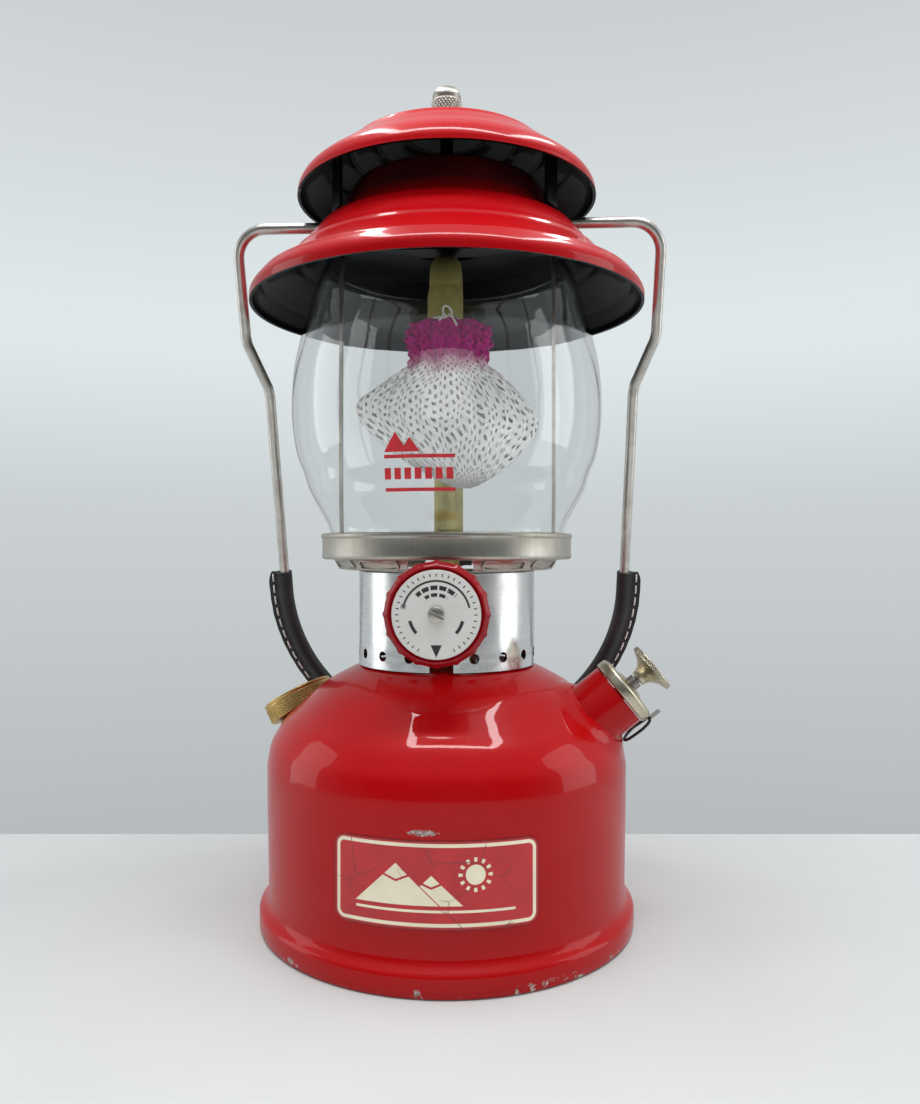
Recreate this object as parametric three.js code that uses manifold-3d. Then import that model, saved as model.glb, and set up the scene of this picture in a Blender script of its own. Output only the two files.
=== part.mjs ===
// Single-mantle pressure lantern, millimetres, +Z up, front towards -Y, pump to +X.
import * as THREE from 'three';
import { mergeVertices } from 'three/addons/utils/BufferGeometryUtils.js';
import Module from 'manifold-3d';

const wasm = await Module();
wasm.setup();

// ---------------------------------------------------------------- clearances
const GAP = 0.3;                 // between pieces that rest on or in each other
const TURN_GAP = 0.4;            // between a turning or sliding piece and its bore
const WALL = 1.2;                // sheet metal thickness of tank, rest and ventilator

// ---------------------------------------------------------------- facets round a circle
const WIDE = 32;                 // tank, globe, ventilator
const MEDIUM = 20;               // collar, rest, caps
const SMALL = 12;                // pins, tubes and their bores

// ---------------------------------------------------------------- fuel tank
const TANK_R = 66;               // radius of the tank side
const FOOT_EXTRA = 2.6;          // how far the foot flange stands outside the side
const FOOT_H = 7.4;              // height of the foot flange
const SHOULDER_Z = 58;           // where the side turns into the dome
const DOME_H = 35.1;             // rise of the dome above the shoulder
const DOME_CURVE = [             // radius and rise as shares of TANK_R and DOME_H
  [1, 0], [0.983, 0.18], [0.955, 0.29], [0.909, 0.42], [0.795, 0.62], [0.682, 0.805],
  [0.568, 0.925], [0.47, 1],
];
const BOTTOM_RECESS = 1.5;       // height of the bottom panel above the floor

// ---------------------------------------------------------------- filler
const FILLER_TURN = 160;         // degrees round from +X
const FILLER_TILT = 30;          // degrees from vertical
const FILLER_SEAT_SHARE = 0.936; // radius of the cap base centre as a share of TANK_R
const FILLER_SEAT_RISE = 13.1;   // height of the cap base centre above the shoulder
const FILLER_CAP_R = 14.2;
const FILLER_CAP_H = 8;
const FILLER_NECK_R = 8.6;
const FILLER_NECK_H = 3.6;       // neck above the cap base
const GASKET_T = 1.6;

// ---------------------------------------------------------------- pump
const PUMP_TILT = 39;            // degrees above horizontal
const PUMP_Y = -15;              // pump axis stands in front of the tank axis
const PUMP_ROOT_SHARE = 0.833;   // x of the axis point over the dome, share of TANK_R
const PUMP_ROOT_RISE = 20.5;     // its height above the shoulder
const PUMP_STUB_L = 9;           // axis point to the end of the stub
const PUMP_TUBE_R = 9.6;
const PUMP_STUB_T = 2.15;         // stub outside the pump tube, with the tube's clearance
const PUMP_TUBE_L = 92;
const PUMP_TUBE_T = 1;
const PUMP_CAP_OVER = 0.75;      // cap rim outside the stub
const PUMP_CAP_T = 4.5;
const PUMP_ROD_R = 2.65;
const AIR_STEM_R = 1.4;
const PUMP_KNOB_R = 9;
const PUMP_KNOB_L = 7.6;

// ---------------------------------------------------------------- collar and valve
const COLLAR_R = 32.7;
const COLLAR_H = 34.3;
const COLLAR_T = 1;
const HOLE_R = 1.8;              // collar air holes
const HOLE_COUNT = 18;           // places round the collar, the front one is the slot
const SLOT_W = 8.2;
const KNOB_RISE = 21.7;          // knob axis above the collar foot
const KNOB_R = 17.5;
const KNOB_T = 5;
const KNOB_LOBES = 16;
const KNOB_STAND = 21;           // collar front to the back of the knob rim
const STEM_R = 2;
const VALVE_R = 6.5;
const DISC_R = 14.1;
const DISC_T = 0.6;
const SCREW_R = 2.7;

// ---------------------------------------------------------------- globe rest and cage
const REST_R = 46.6;
const REST_RIM_H = 8;
const REST_GAP = 5.6;            // collar top to the lower edge of the rim
const PAD_R = 38.2;
const CAGE_BAR_T = 1.2;
const CAGE_BAR_W = 2.5;
const BRIDGE_T = 1.6;
const BRIDGE_ROOM = 2.6;         // bridge end to the outside of the skirt round it
const STUD_R = 2.4;

// ---------------------------------------------------------------- globe
const GLOBE_R = 57.3;            // widest outer radius
const GLOBE_H = 104.5;
const GLASS_T = 1.3;
const GLOBE_CURVE = [            // outer radius and height as shares of GLOBE_R and GLOBE_H
  [0.757, 0], [0.761, 0.06], [0.848, 0.155], [0.923, 0.26], [0.983, 0.37], [1, 0.49],
  [0.986, 0.62], [0.937, 0.745], [0.869, 0.885], [0.794, 0.976], [0.785, 1],
];

// ---------------------------------------------------------------- burner
const GENERATOR_R = 3;
const AIR_TUBE_R = 5.7;
const BURNER_TUBE_R = 6.75;
const BURNER_Y = -11;            // mantle side of the burner
const GENERATOR_Y = 4.4;
const AIR_TUBE_Y = 13.8;
const BURNER_END_DROP = 36;      // globe top to the lower end of the burner tube
const MANTLE_W = 31;             // half width of the mantle
const MANTLE_D = 10.8;           // half depth of the mantle

// ---------------------------------------------------------------- ventilator
const SKIRT_R = 72.5;
const SKIRT_CURVE = [            // radius share of SKIRT_R and height above the rim
  [1, 0], [1, 2.6], [0.963, 6.6], [0.88, 11.1], [0.775, 17], [0.724, 21.5], [0.641, 27.4],
  [0.53, 33.8], [0.508, 38.5], [0.481, 43.2], [0.465, 44.2],
];
const SKIRT_DROP = 16;           // globe top to the skirt rim
const CAP_R = 55.3;
const CAP_RISE = 40;             // skirt rim to cap rim
const CAP_CURVE = [              // radius share of CAP_R and height above the cap rim
  [1, 0], [0.965, 5.4], [0.814, 11.9], [0.611, 19.4], [0.407, 24.4], [0.2, 27.4], [0, 28.4],
];
const STRUT_SHARE = 0.59;        // strut radius as a share of SKIRT_R
const STRUT_W = 8;
const NUT_R = 5.75;
const NUT_H = 14.9;

// ---------------------------------------------------------------- bail
const WIRE_R = 2;
const BAIL_RISE = 32;            // skirt rim to the pivot axis
const BAIL_OUT = 7.5;            // outer legs stand outside the skirt rim
const BAIL_CORNER_R = 11;
const BAIL_ARCH_EXTRA = 6.3;     // arch radius over TANK_R
const BAIL_LENGTH = 219;         // pivot to the middle of the grip
const BAIL_LEG = 43;             // pivot to the start of the inward jog
const BAIL_JOG = 17;             // length of the jog
const GRIP_R = 3.15;
const GRIP_FLAP = 3;             // sewn flap beyond the round of the grip
const GRIP_OVER = 8;             // straight part of the grip above the arch
const BAIL_REST_GAP = 2.9;       // hanging grip to the tank side

// ---------------------------------------------------------------- derived positions
const DEG = Math.PI / 180;
const FOOT_R = TANK_R + FOOT_EXTRA;
const TANK_TOP = SHOULDER_Z + DOME_H;
const COLLAR_Z = TANK_TOP + GAP;
const COLLAR_TOP = COLLAR_Z + COLLAR_H;
const KNOB_Z = COLLAR_Z + KNOB_RISE;
const REST_Z = COLLAR_TOP + REST_GAP;
const REST_FLOOR = REST_Z + 1.6;
const GLOBE_Z = REST_FLOOR + WALL + GAP;
const GLOBE_TOP = GLOBE_Z + GLOBE_H;
const GLOBE_FOOT_R = GLOBE_R * GLOBE_CURVE[0][0];
const PUMP_STUB_R = PUMP_TUBE_R + PUMP_STUB_T;
const PUMP_CAP_R = PUMP_STUB_R + PUMP_CAP_OVER;
const CAGE_R = GLOBE_FOOT_R - GLASS_T - 1.5;
const BURNER_END = GLOBE_TOP - BURNER_END_DROP;
const SKIRT_Z = GLOBE_TOP - SKIRT_DROP;
const CAP_Z = SKIRT_Z + CAP_RISE;
const CAP_TOP = CAP_Z + CAP_CURVE[CAP_CURVE.length - 1][1];
const PIVOT_Z = SKIRT_Z + BAIL_RISE;
const NECK_R = SKIRT_R * SKIRT_CURVE[SKIRT_CURVE.length - 3][0];
const EAR_R = NECK_R - WALL - GAP - 0.9;
const BAFFLE_Z = PIVOT_Z - 8;
const BRIDGE_Z = Math.min(BAFFLE_Z - 2.3, SKIRT_Z + skirtRiseAt(CAGE_R + BRIDGE_ROOM) - BRIDGE_T);
const BURNER_TOP = BRIDGE_Z - 2 * GAP - BURNER_TUBE_R;
const BAFFLE_R = SKIRT_R * 0.636;
const BAIL_REST = Math.asin((TANK_R + GRIP_R + BAIL_REST_GAP) / BAIL_LENGTH);

/** Height above the rim at which the skirt has narrowed to a radius. */
function skirtRiseAt(radius) {
  const share = radius / SKIRT_R;
  const i = SKIRT_CURVE.findIndex(([r], k) => k > 1 && r <= share);
  const [r1, z1] = SKIRT_CURVE[i];
  const [r0, z0] = SKIRT_CURVE[i - 1];
  return z0 + (z1 - z0) * (r0 - share) / (r0 - r1);
}

const parts = new THREE.Group();
parts.name = 'lantern';

// ---------------------------------------------------------------- helpers
/** Signed volume of an indexed or plain geometry. */
function signedVolume(geometry) {
  const g = geometry.index ? geometry.toNonIndexed() : geometry;
  const p = g.attributes.position;
  const a = new THREE.Vector3();
  const b = new THREE.Vector3();
  const c = new THREE.Vector3();
  let sum = 0;
  for (let i = 0; i < p.count; i += 3) {
    a.fromBufferAttribute(p, i);
    b.fromBufferAttribute(p, i + 1);
    c.fromBufferAttribute(p, i + 2);
    sum += a.dot(b.cross(c));
  }
  return sum / 6;
}

/** Closed solid for joining and cutting. */
function solid(geometry) {
  let g = geometry.clone();
  g.deleteAttribute('normal');
  g.deleteAttribute('uv');
  g = mergeVertices(g, 1e-3);
  const index = Array.from(g.index.array);
  const kept = [];
  for (let i = 0; i < index.length; i += 3) {
    const [a, b, c] = [index[i], index[i + 1], index[i + 2]];
    if (a !== b && b !== c && a !== c) {
      kept.push(a, b, c);
    }
  }
  if (signedVolume(g) < 0) {
    for (let i = 0; i < kept.length; i += 3) {
      [kept[i + 1], kept[i + 2]] = [kept[i + 2], kept[i + 1]];
    }
  }
  return new wasm.Manifold(new wasm.Mesh({
    numProp: 3,
    vertProperties: new Float32Array(g.attributes.position.array),
    triVerts: new Uint32Array(kept),
  }));
}

/** Solid turned about Z from a closed [radius, z] outline. */
function spin(outline, segments = MEDIUM) {
  const points = outline.map(([r, z]) => new THREE.Vector2(r, z));
  const first = points[0];
  const last = points[points.length - 1];
  if (first.x > 0 || last.x > 0) {
    points.push(first.clone());
  }
  const g = new THREE.LatheGeometry(points, segments);
  g.rotateX(Math.PI / 2);
  return solid(g);
}

/** Upright cylinder from z0 to z1. */
function rod(radius, z0, z1, segments = MEDIUM) {
  return spin([[0, z0], [radius, z0], [radius, z1], [0, z1]], segments);
}

/** Upright tube from z0 to z1. */
function pipe(outer, inner, z0, z1, segments = MEDIUM) {
  return spin([[inner, z0], [outer, z0], [outer, z1], [inner, z1]], segments);
}

/** Box between two corners. */
function block(x0, y0, z0, x1, y1, z1) {
  const g = new THREE.BoxGeometry(x1 - x0, y1 - y0, z1 - z0);
  g.translate((x0 + x1) / 2, (y0 + y1) / 2, (z0 + z1) / 2);
  return solid(g);
}

/** Hexagonal prism across its corners, upright. */
function hexagon(radius, z0, z1) {
  return rod(radius, z0, z1, 6);
}

/** Solid swept along a curve from a flat shape. */
function sweep(shape, curve, steps) {
  return solid(new THREE.ExtrudeGeometry(shape, {
    steps, bevelEnabled: false, extrudePath: curve, curveSegments: 4,
  }));
}

/** Add a named piece with its own finish. */
function add(name, body, colour, roughness, metalness) {
  const mesh = body.getMesh();
  const g = new THREE.BufferGeometry();
  const np = mesh.numProp;
  const count = mesh.vertProperties.length / np;
  const pos = new Float32Array(count * 3);
  for (let i = 0; i < count; i += 1) {
    pos[3 * i] = mesh.vertProperties[np * i];
    pos[3 * i + 1] = mesh.vertProperties[np * i + 1];
    pos[3 * i + 2] = mesh.vertProperties[np * i + 2];
  }
  g.setAttribute('position', new THREE.BufferAttribute(pos, 3));
  g.setIndex(Array.from(mesh.triVerts));
  g.computeVertexNormals();
  const piece = new THREE.Mesh(g, new THREE.MeshStandardMaterial({ color: colour, roughness, metalness }));
  piece.name = name;
  parts.add(piece);
}

const RED = 0xb3121c;
const BLACK = 0x15161a;
const NICKEL = 0xb9b7b0;
const CHROME = 0xd6d8da;
const BRASS = 0xb08a3c;
const STEEL = 0x9c9a94;

// ---------------------------------------------------------------- placing on the dome
const fillerTurn = FILLER_TURN * DEG;
const FILLER_SEAT = [
  FILLER_SEAT_SHARE * TANK_R * Math.cos(fillerTurn),
  FILLER_SEAT_SHARE * TANK_R * Math.sin(fillerTurn),
  SHOULDER_Z + FILLER_SEAT_RISE,
];

/** Move a piece built upright on the filler seat into its place. */
function onFiller(body) {
  return body.rotate([0, FILLER_TILT, 0]).rotate([0, 0, FILLER_TURN]).translate(FILLER_SEAT);
}

const PUMP_ROOT = [PUMP_ROOT_SHARE * TANK_R, PUMP_Y, SHOULDER_Z + PUMP_ROOT_RISE];

/** Move a piece built upright along the pump axis into its place. */
function onPump(body) {
  return body.rotate([0, 90 - PUMP_TILT, 0]).translate(PUMP_ROOT);
}

/** Move a piece built upright along the valve axis, z becoming the way forward. */
function onValve(body) {
  return body.rotate([90, 0, 0]).translate([0, 0, KNOB_Z]);
}

// ---------------------------------------------------------------- tank
/** Outer outline of the tank, closed on the axis. */
function tankOutline(shift) {
  const side = [
    [FOOT_R - shift, shift > 0 ? -1 : 0],
    [FOOT_R - shift, FOOT_H - shift * 0.4],
    [FOOT_R - 0.8 - shift, FOOT_H + 1.2 - shift * 0.4],
    [TANK_R - 0.3 - shift, FOOT_H + 2.9 - shift * 0.4],
    [TANK_R - 0.6 - shift, FOOT_H + 5],
  ];
  const dome = DOME_CURVE.map(([r, t]) => [r * TANK_R - shift * (1 - t * 0.6), SHOULDER_Z + t * (DOME_H - shift)]);
  return [[0, side[0][1]], ...side, ...dome, [0, TANK_TOP - shift]];
}

function buildTank() {
  const skin = spin(tankOutline(0), WIDE);
  const padR = FILLER_CAP_R + 0.8;
  const pocket = onFiller(rod(padR, 0, 60, MEDIUM));
  const boss = onFiller(rod(FILLER_NECK_R + 2.4, -14, 0, MEDIUM));
  const stub = onPump(rod(PUMP_STUB_R, -22, PUMP_STUB_L, MEDIUM));
  const hollow = spin(tankOutline(WALL), WIDE).subtract(onFiller(rod(padR + WALL, -2 * WALL, 60, MEDIUM)));
  const neckHole = onFiller(rod(FILLER_NECK_R + GAP, -40, 20, MEDIUM));
  const pumpHole = onPump(rod(PUMP_TUBE_R + GAP, -60, 40, MEDIUM));
  const valveHole = rod(VALVE_R + GAP, TANK_TOP - 8, TANK_TOP + 8);
  const shell = skin.subtract(pocket).add(boss).add(stub).subtract(hollow)
    .subtract(neckHole).subtract(pumpHole).subtract(valveHole);
  add('fount_shell', shell, RED, 0.28, 0);

  const r = FOOT_R - WALL - GAP;
  const z = BOTTOM_RECESS;
  const bottom = spin([
    [0, z], [r - 17, z], [r - 13, z + 1.7], [r, z + 1.7],
    [r, z + 1.7 + WALL], [r - 13.5, z + 1.7 + WALL], [r - 17.5, z + WALL], [0, z + WALL],
  ], WIDE);
  add('fount_bottom', bottom, RED, 0.4, 0);
}

function buildFiller() {
  const neck = onFiller(pipe(FILLER_NECK_R, FILLER_NECK_R - 2, -11, FILLER_NECK_H, MEDIUM));
  add('filler_neck', neck, BRASS, 0.35, 1);

  const gasketR = FILLER_NECK_R + 0.2;
  const gasket = rod(gasketR, FILLER_NECK_H + GAP, FILLER_NECK_H + GAP + GASKET_T, MEDIUM);
  add('filler_gasket', onFiller(gasket), 0x1a1a1a, 0.9, 0);

  const bore = gasketR + TURN_GAP;
  const roof = FILLER_NECK_H + GASKET_T + 2 * GAP;
  const cup = [
    [bore, GAP], [FILLER_CAP_R - 0.8, GAP], [FILLER_CAP_R, GAP + 0.8],
    [FILLER_CAP_R, FILLER_CAP_H - 0.8], [FILLER_CAP_R - 0.8, FILLER_CAP_H],
    [0, FILLER_CAP_H], [0, roof], [bore, roof],
  ];
  const cap = spin([...cup.slice(5), ...cup.slice(0, 5)], MEDIUM);
  add('filler_cap', onFiller(cap), BRASS, 0.35, 1);
}

// ---------------------------------------------------------------- pump
function buildPump() {
  const end = PUMP_STUB_L;
  const bottom = end - PUMP_TUBE_L;
  const bore = PUMP_TUBE_R - PUMP_TUBE_T;
  const valveR = 3.2;
  const tube = pipe(PUMP_TUBE_R, bore, bottom, end - GAP, MEDIUM)
    .add(pipe(PUMP_TUBE_R, valveR + GAP, bottom, bottom + 2, MEDIUM));
  add('pump_barrel', onPump(tube), BRASS, 0.4, 1);

  const seat = pipe(valveR, AIR_STEM_R + TURN_GAP, bottom - 5, bottom + 3, SMALL)
    .add(rod(valveR, bottom - 7, bottom - 4.8, SMALL));
  add('pump_check_valve', onPump(seat), BRASS, 0.4, 1);

  const capIn = end + GAP;
  const capTop = capIn + PUMP_CAP_T;
  const lid = rod(PUMP_CAP_R, capIn, capTop, MEDIUM)
    .subtract(rod(PUMP_ROD_R + TURN_GAP, capIn - 1, capTop + 1, SMALL));
  add('pump_cap', onPump(lid), NICKEL, 0.3, 1);

  const cupZ = bottom + 2 + 6;
  const shank = pipe(PUMP_ROD_R, AIR_STEM_R + TURN_GAP, cupZ, capTop + 3.2, SMALL);
  add('pump_plunger', onPump(shank), STEEL, 0.35, 1);

  const cup = pipe(bore - TURN_GAP, PUMP_ROD_R + GAP, cupZ, cupZ + 2, MEDIUM)
    .add(pipe(bore - TURN_GAP, bore - TURN_GAP - 1.4, cupZ - 4, cupZ + 0.5, MEDIUM));
  add('pump_cup', onPump(cup), 0x6b4426, 0.8, 0);

  const stem = rod(AIR_STEM_R, bottom - 4, capTop + 4.4, SMALL);
  add('air_stem', onPump(stem), STEEL, 0.35, 1);

  const knobZ = capTop + 3.6;
  const knob = spin([
    [0, knobZ + 1.2], [AIR_STEM_R + GAP, knobZ + 1.2], [AIR_STEM_R + GAP, knobZ],
    [4.4, knobZ], [4.6, knobZ + 1.6], [2.7, knobZ + 2.6], [2.9, knobZ + 3.8], [5.2, knobZ + 4.8],
    [PUMP_KNOB_R - 0.6, knobZ + PUMP_KNOB_L - 2.4], [PUMP_KNOB_R, knobZ + PUMP_KNOB_L - 1.8],
    [PUMP_KNOB_R, knobZ + PUMP_KNOB_L - 0.4], [PUMP_KNOB_R - 0.8, knobZ + PUMP_KNOB_L],
    [0, knobZ + PUMP_KNOB_L - 0.4],
  ], MEDIUM);
  add('pump_knob', onPump(knob), NICKEL, 0.3, 1);

  const clipR = 0.7;
  const hang = PUMP_CAP_R + GAP + clipR;
  const loop = [
    [-hang, 0, end + 1], [-hang * 0.97, 3.4, end + 2.6], [-hang * 1.02, 5, end + 0.4],
    [-hang * 1.06, 4.2, end - 3.4], [-hang * 1.08, 1.6, end - 5], [-hang * 1.06, -1.4, end - 4.4],
    [-hang * 1.02, -3.6, end - 2], [-hang, -4.2, end + 1.6],
  ];
  const path = new THREE.CatmullRomCurve3(loop.map(([x, y, z]) => new THREE.Vector3(-x, y, z)));
  const round = new THREE.Shape();
  round.absarc(0, 0, clipR, 0, 2 * Math.PI, false);
  add('pump_cap_clip', onPump(sweep(round, path, 14)), 0x2a2a2c, 0.4, 0.8);
}

// ---------------------------------------------------------------- collar and valve
function buildCollar() {
  let body = pipe(COLLAR_R, COLLAR_R - COLLAR_T, COLLAR_Z, COLLAR_TOP, WIDE)
    .add(pipe(COLLAR_R, COLLAR_R - 8, COLLAR_TOP - COLLAR_T, COLLAR_TOP, WIDE));
  for (let i = 1; i < HOLE_COUNT; i += 1) {
    const drill = rod(HOLE_R, COLLAR_R - 4, COLLAR_R + 4, 8).rotate([90, 0, 0]);
    body = body.subtract(drill.rotate([0, 0, i * 360 / HOLE_COUNT]).translate([0, 0, COLLAR_Z + 4.6]));
  }
  const half = SLOT_W / 2;
  const slot = block(-half, -COLLAR_R - 4, COLLAR_Z - 1, half, -COLLAR_R + 6, KNOB_Z)
    .add(rod(half, COLLAR_R - 6, COLLAR_R + 4, SMALL).rotate([90, 0, 0]).translate([0, 0, KNOB_Z]));
  add('collar', body.subtract(slot), CHROME, 0.12, 1);
}

function buildValve() {
  const front = VALVE_R + 10;
  const top = KNOB_Z + 7;
  let body = rod(VALVE_R, TANK_TOP - 10, top)
    .add(hexagon(VALVE_R + 4.5, TANK_TOP + GAP, TANK_TOP + 5))
    .add(onValve(rod(5.5, 0, front)));
  body = body.subtract(onValve(rod(STEM_R + TURN_GAP, 4, front + 1, SMALL)))
    .subtract(rod(GENERATOR_R + 1, top - 3, top + 1));
  add('valve_body', body, BRASS, 0.4, 1);

  const pickup = pipe(2.6, 1.4, BOTTOM_RECESS + 5, TANK_TOP - 10 - GAP, SMALL);
  add('fuel_pickup', pickup, BRASS, 0.45, 1);

  const nutBack = front + GAP;
  const nut = hexagon(6.4, nutBack, nutBack + 7)
    .subtract(rod(STEM_R + TURN_GAP, nutBack - 1, nutBack + 8, SMALL));
  add('packing_nut', onValve(nut), BRASS, 0.4, 1);

  const back = COLLAR_R + KNOB_STAND;
  const face = back + KNOB_T;
  const stem = rod(STEM_R, 4.4, back + 1, SMALL);
  add('valve_stem', onValve(stem), STEEL, 0.3, 1);

  const lobed = new THREE.Shape();
  const steps = KNOB_LOBES * 3;
  for (let i = 0; i <= steps; i += 1) {
    const a = (i / steps) * 2 * Math.PI;
    const r = KNOB_R - 0.45 + 0.45 * Math.cos(KNOB_LOBES * a);
    if (i === 0) {
      lobed.moveTo(r * Math.cos(a), r * Math.sin(a));
    } else {
      lobed.lineTo(r * Math.cos(a), r * Math.sin(a));
    }
  }
  const slab = solid(new THREE.ExtrudeGeometry(lobed, { depth: KNOB_T, bevelEnabled: false }));
  const knob = slab.translate([0, 0, back])
    .add(rod(5, back - 5, back + 1))
    .subtract(rod(DISC_R + GAP, face - DISC_T - GAP, face + 1, MEDIUM))
    .subtract(rod(KNOB_R - 2.4, back - 0.5, back + 2, MEDIUM).subtract(rod(5, back - 1, back + 3)))
    .subtract(rod(STEM_R + GAP, back - 6, back + 1 + GAP, SMALL))
    .subtract(rod(SCREW_R * 0.55 + GAP, back, face, SMALL));
  add('valve_knob', onValve(knob), RED, 0.35, 0);

  const screwHead = face + 0.2;
  const disc = pipe(DISC_R, SCREW_R * 0.55 + GAP, face - DISC_T, face, MEDIUM);
  add('direction_disc', onValve(disc), 0xe4e2da, 0.4, 0.3);

  const screw = rod(SCREW_R, screwHead, screwHead + 1.3, SMALL)
    .add(rod(SCREW_R * 0.55, back + 1 + 2 * GAP, screwHead + 0.2, SMALL))
    .subtract(block(-0.4, -4, screwHead + 0.6, 0.4, 4, screwHead + 3));
  add('knob_screw', onValve(screw), NICKEL, 0.3, 1);
}

// ---------------------------------------------------------------- globe rest and cage
function buildRest() {
  let plate = spin([
    [0, REST_FLOOR], [REST_R - WALL, REST_FLOOR], [REST_R - WALL, REST_Z], [REST_R, REST_Z],
    [REST_R, REST_Z + REST_RIM_H], [REST_R - WALL, REST_Z + REST_RIM_H],
    [REST_R - WALL, REST_FLOOR + WALL], [0, REST_FLOOR + WALL],
  ], WIDE);
  let skirt = pipe(PAD_R, PAD_R - WALL, COLLAR_TOP + GAP, REST_FLOOR + 0.5, MEDIUM)
    .add(pipe(COLLAR_R - 1, COLLAR_R - 4, COLLAR_TOP + GAP, REST_FLOOR + 0.5, MEDIUM))
    .add(pipe(PAD_R, COLLAR_R - 4, COLLAR_TOP + GAP, COLLAR_TOP + GAP + WALL, MEDIUM));
  for (let i = 0; i < 4; i += 1) {
    const arch = rod(11, COLLAR_R + 0.5, PAD_R + 4, SMALL).rotate([90, 0, 0]);
    skirt = skirt.subtract(arch.rotate([0, 0, 90 * i]).translate([0, 0, COLLAR_TOP - 4]));
  }
  plate = plate.add(skirt)
    .subtract(rod(GENERATOR_R + 1, COLLAR_TOP - 5, REST_Z + 20).translate([0, GENERATOR_Y, 0]))
    .subtract(rod(AIR_TUBE_R + GAP, COLLAR_TOP - 5, REST_Z + 20).translate([0, AIR_TUBE_Y, 0]));
  add('globe_rest', plate, NICKEL, 0.35, 1);
}

function buildCage() {
  const foot = REST_FLOOR + WALL + GAP;
  const half = CAGE_BAR_W / 2;
  for (const [name, side] of [['cage_upright_left', -1], ['cage_upright_right', 1]]) {
    const x0 = side * (CAGE_R - CAGE_BAR_T / 2) - CAGE_BAR_T / 2;
    const bar = block(x0, -half, foot, x0 + CAGE_BAR_T, half, BRIDGE_Z - GAP);
    add(name, bar, STEEL, 0.35, 1);
  }
  const reach = CAGE_R;
  const bridge = block(-reach, -5, BRIDGE_Z, reach, 5, BRIDGE_Z + BRIDGE_T)
    .add(rod(6, BRIDGE_Z, BAFFLE_Z - GAP))
    .add(rod(STUD_R, BRIDGE_Z, CAP_TOP + NUT_H - 5, SMALL));
  add('cage_bridge', bridge, STEEL, 0.4, 1);
}

// ---------------------------------------------------------------- burner
function buildBurner() {
  const valveTop = KNOB_Z + 7;
  const low = valveTop - 3 + GAP;
  const shift = new THREE.CatmullRomCurve3([
    new THREE.Vector3(0, 0, low), new THREE.Vector3(0, 0, low + 4),
    new THREE.Vector3(0, GENERATOR_Y * 0.5, low + 7), new THREE.Vector3(0, GENERATOR_Y, low + 10),
    new THREE.Vector3(0, GENERATOR_Y, low + 14), new THREE.Vector3(0, GENERATOR_Y, low + 40),
    new THREE.Vector3(0, GENERATOR_Y, BURNER_TOP - BURNER_TUBE_R - 2),
  ]);
  const round = new THREE.Shape();
  round.absarc(0, 0, GENERATOR_R, 0, 2 * Math.PI, false);
  add('generator', sweep(round, shift, 16), BRASS, 0.4, 1);

  const outer = new THREE.Shape();
  outer.absarc(0, 0, AIR_TUBE_R, 0, 2 * Math.PI, false);
  const back = AIR_TUBE_Y;
  const bend = 8;
  const path = [[back, COLLAR_TOP + 1]];
  for (let z = COLLAR_TOP + 15; z < BURNER_TOP - bend - 4; z += 15) {
    path.push([back, z]);
  }
  for (let i = 0; i <= 4; i += 1) {
    const a = (i / 4) * 90 * DEG;
    path.push([back - bend + bend * Math.cos(a), BURNER_TOP - bend + bend * Math.sin(a)]);
  }
  path.push([BURNER_Y + bend, BURNER_TOP]);
  for (let i = 1; i <= 4; i += 1) {
    const a = (i / 4) * 90 * DEG;
    path.push([BURNER_Y + bend - bend * Math.sin(a), BURNER_TOP - bend + bend * Math.cos(a)]);
  }
  path.push([BURNER_Y, BURNER_TOP - bend - 4]);
  const curve = new THREE.CatmullRomCurve3(path.map(([y, z]) => new THREE.Vector3(0, y, z)), false, 'centripetal');
  const tube = sweep(outer, curve, 32)
    .add(rod(BURNER_TUBE_R, BURNER_END + 4, BURNER_TOP - bend - 2).translate([0, BURNER_Y, 0]))
    .subtract(rod(BURNER_TUBE_R - 1.6, BURNER_END, BURNER_END + 14).translate([0, BURNER_Y, 0]));
  add('burner_tube', tube, STEEL, 0.4, 1);

  const capR = BURNER_TUBE_R + 0.6;
  const cap = pipe(BURNER_TUBE_R - 1.6 - GAP, BURNER_TUBE_R - 3, BURNER_END, BURNER_END + 12, MEDIUM)
    .add(pipe(capR, BURNER_TUBE_R - 3, BURNER_END, BURNER_END + 4 - GAP, MEDIUM))
    .translate([0, BURNER_Y, 0]);
  add('burner_cap', cap, 0xc9c0ae, 0.7, 0);

  const tie = 0.8;
  const ring = spin(Array.from({ length: 6 }, (_, i) => {
    const a = (i / 6) * 2 * Math.PI;
    return [BURNER_TUBE_R + GAP + tie + tie * Math.cos(a), BURNER_END + 12.2 + tie * Math.sin(a)];
  }), MEDIUM).translate([0, BURNER_Y, 0]);
  add('mantle_string', ring, 0xe8e6e0, 0.9, 0);
}

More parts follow.
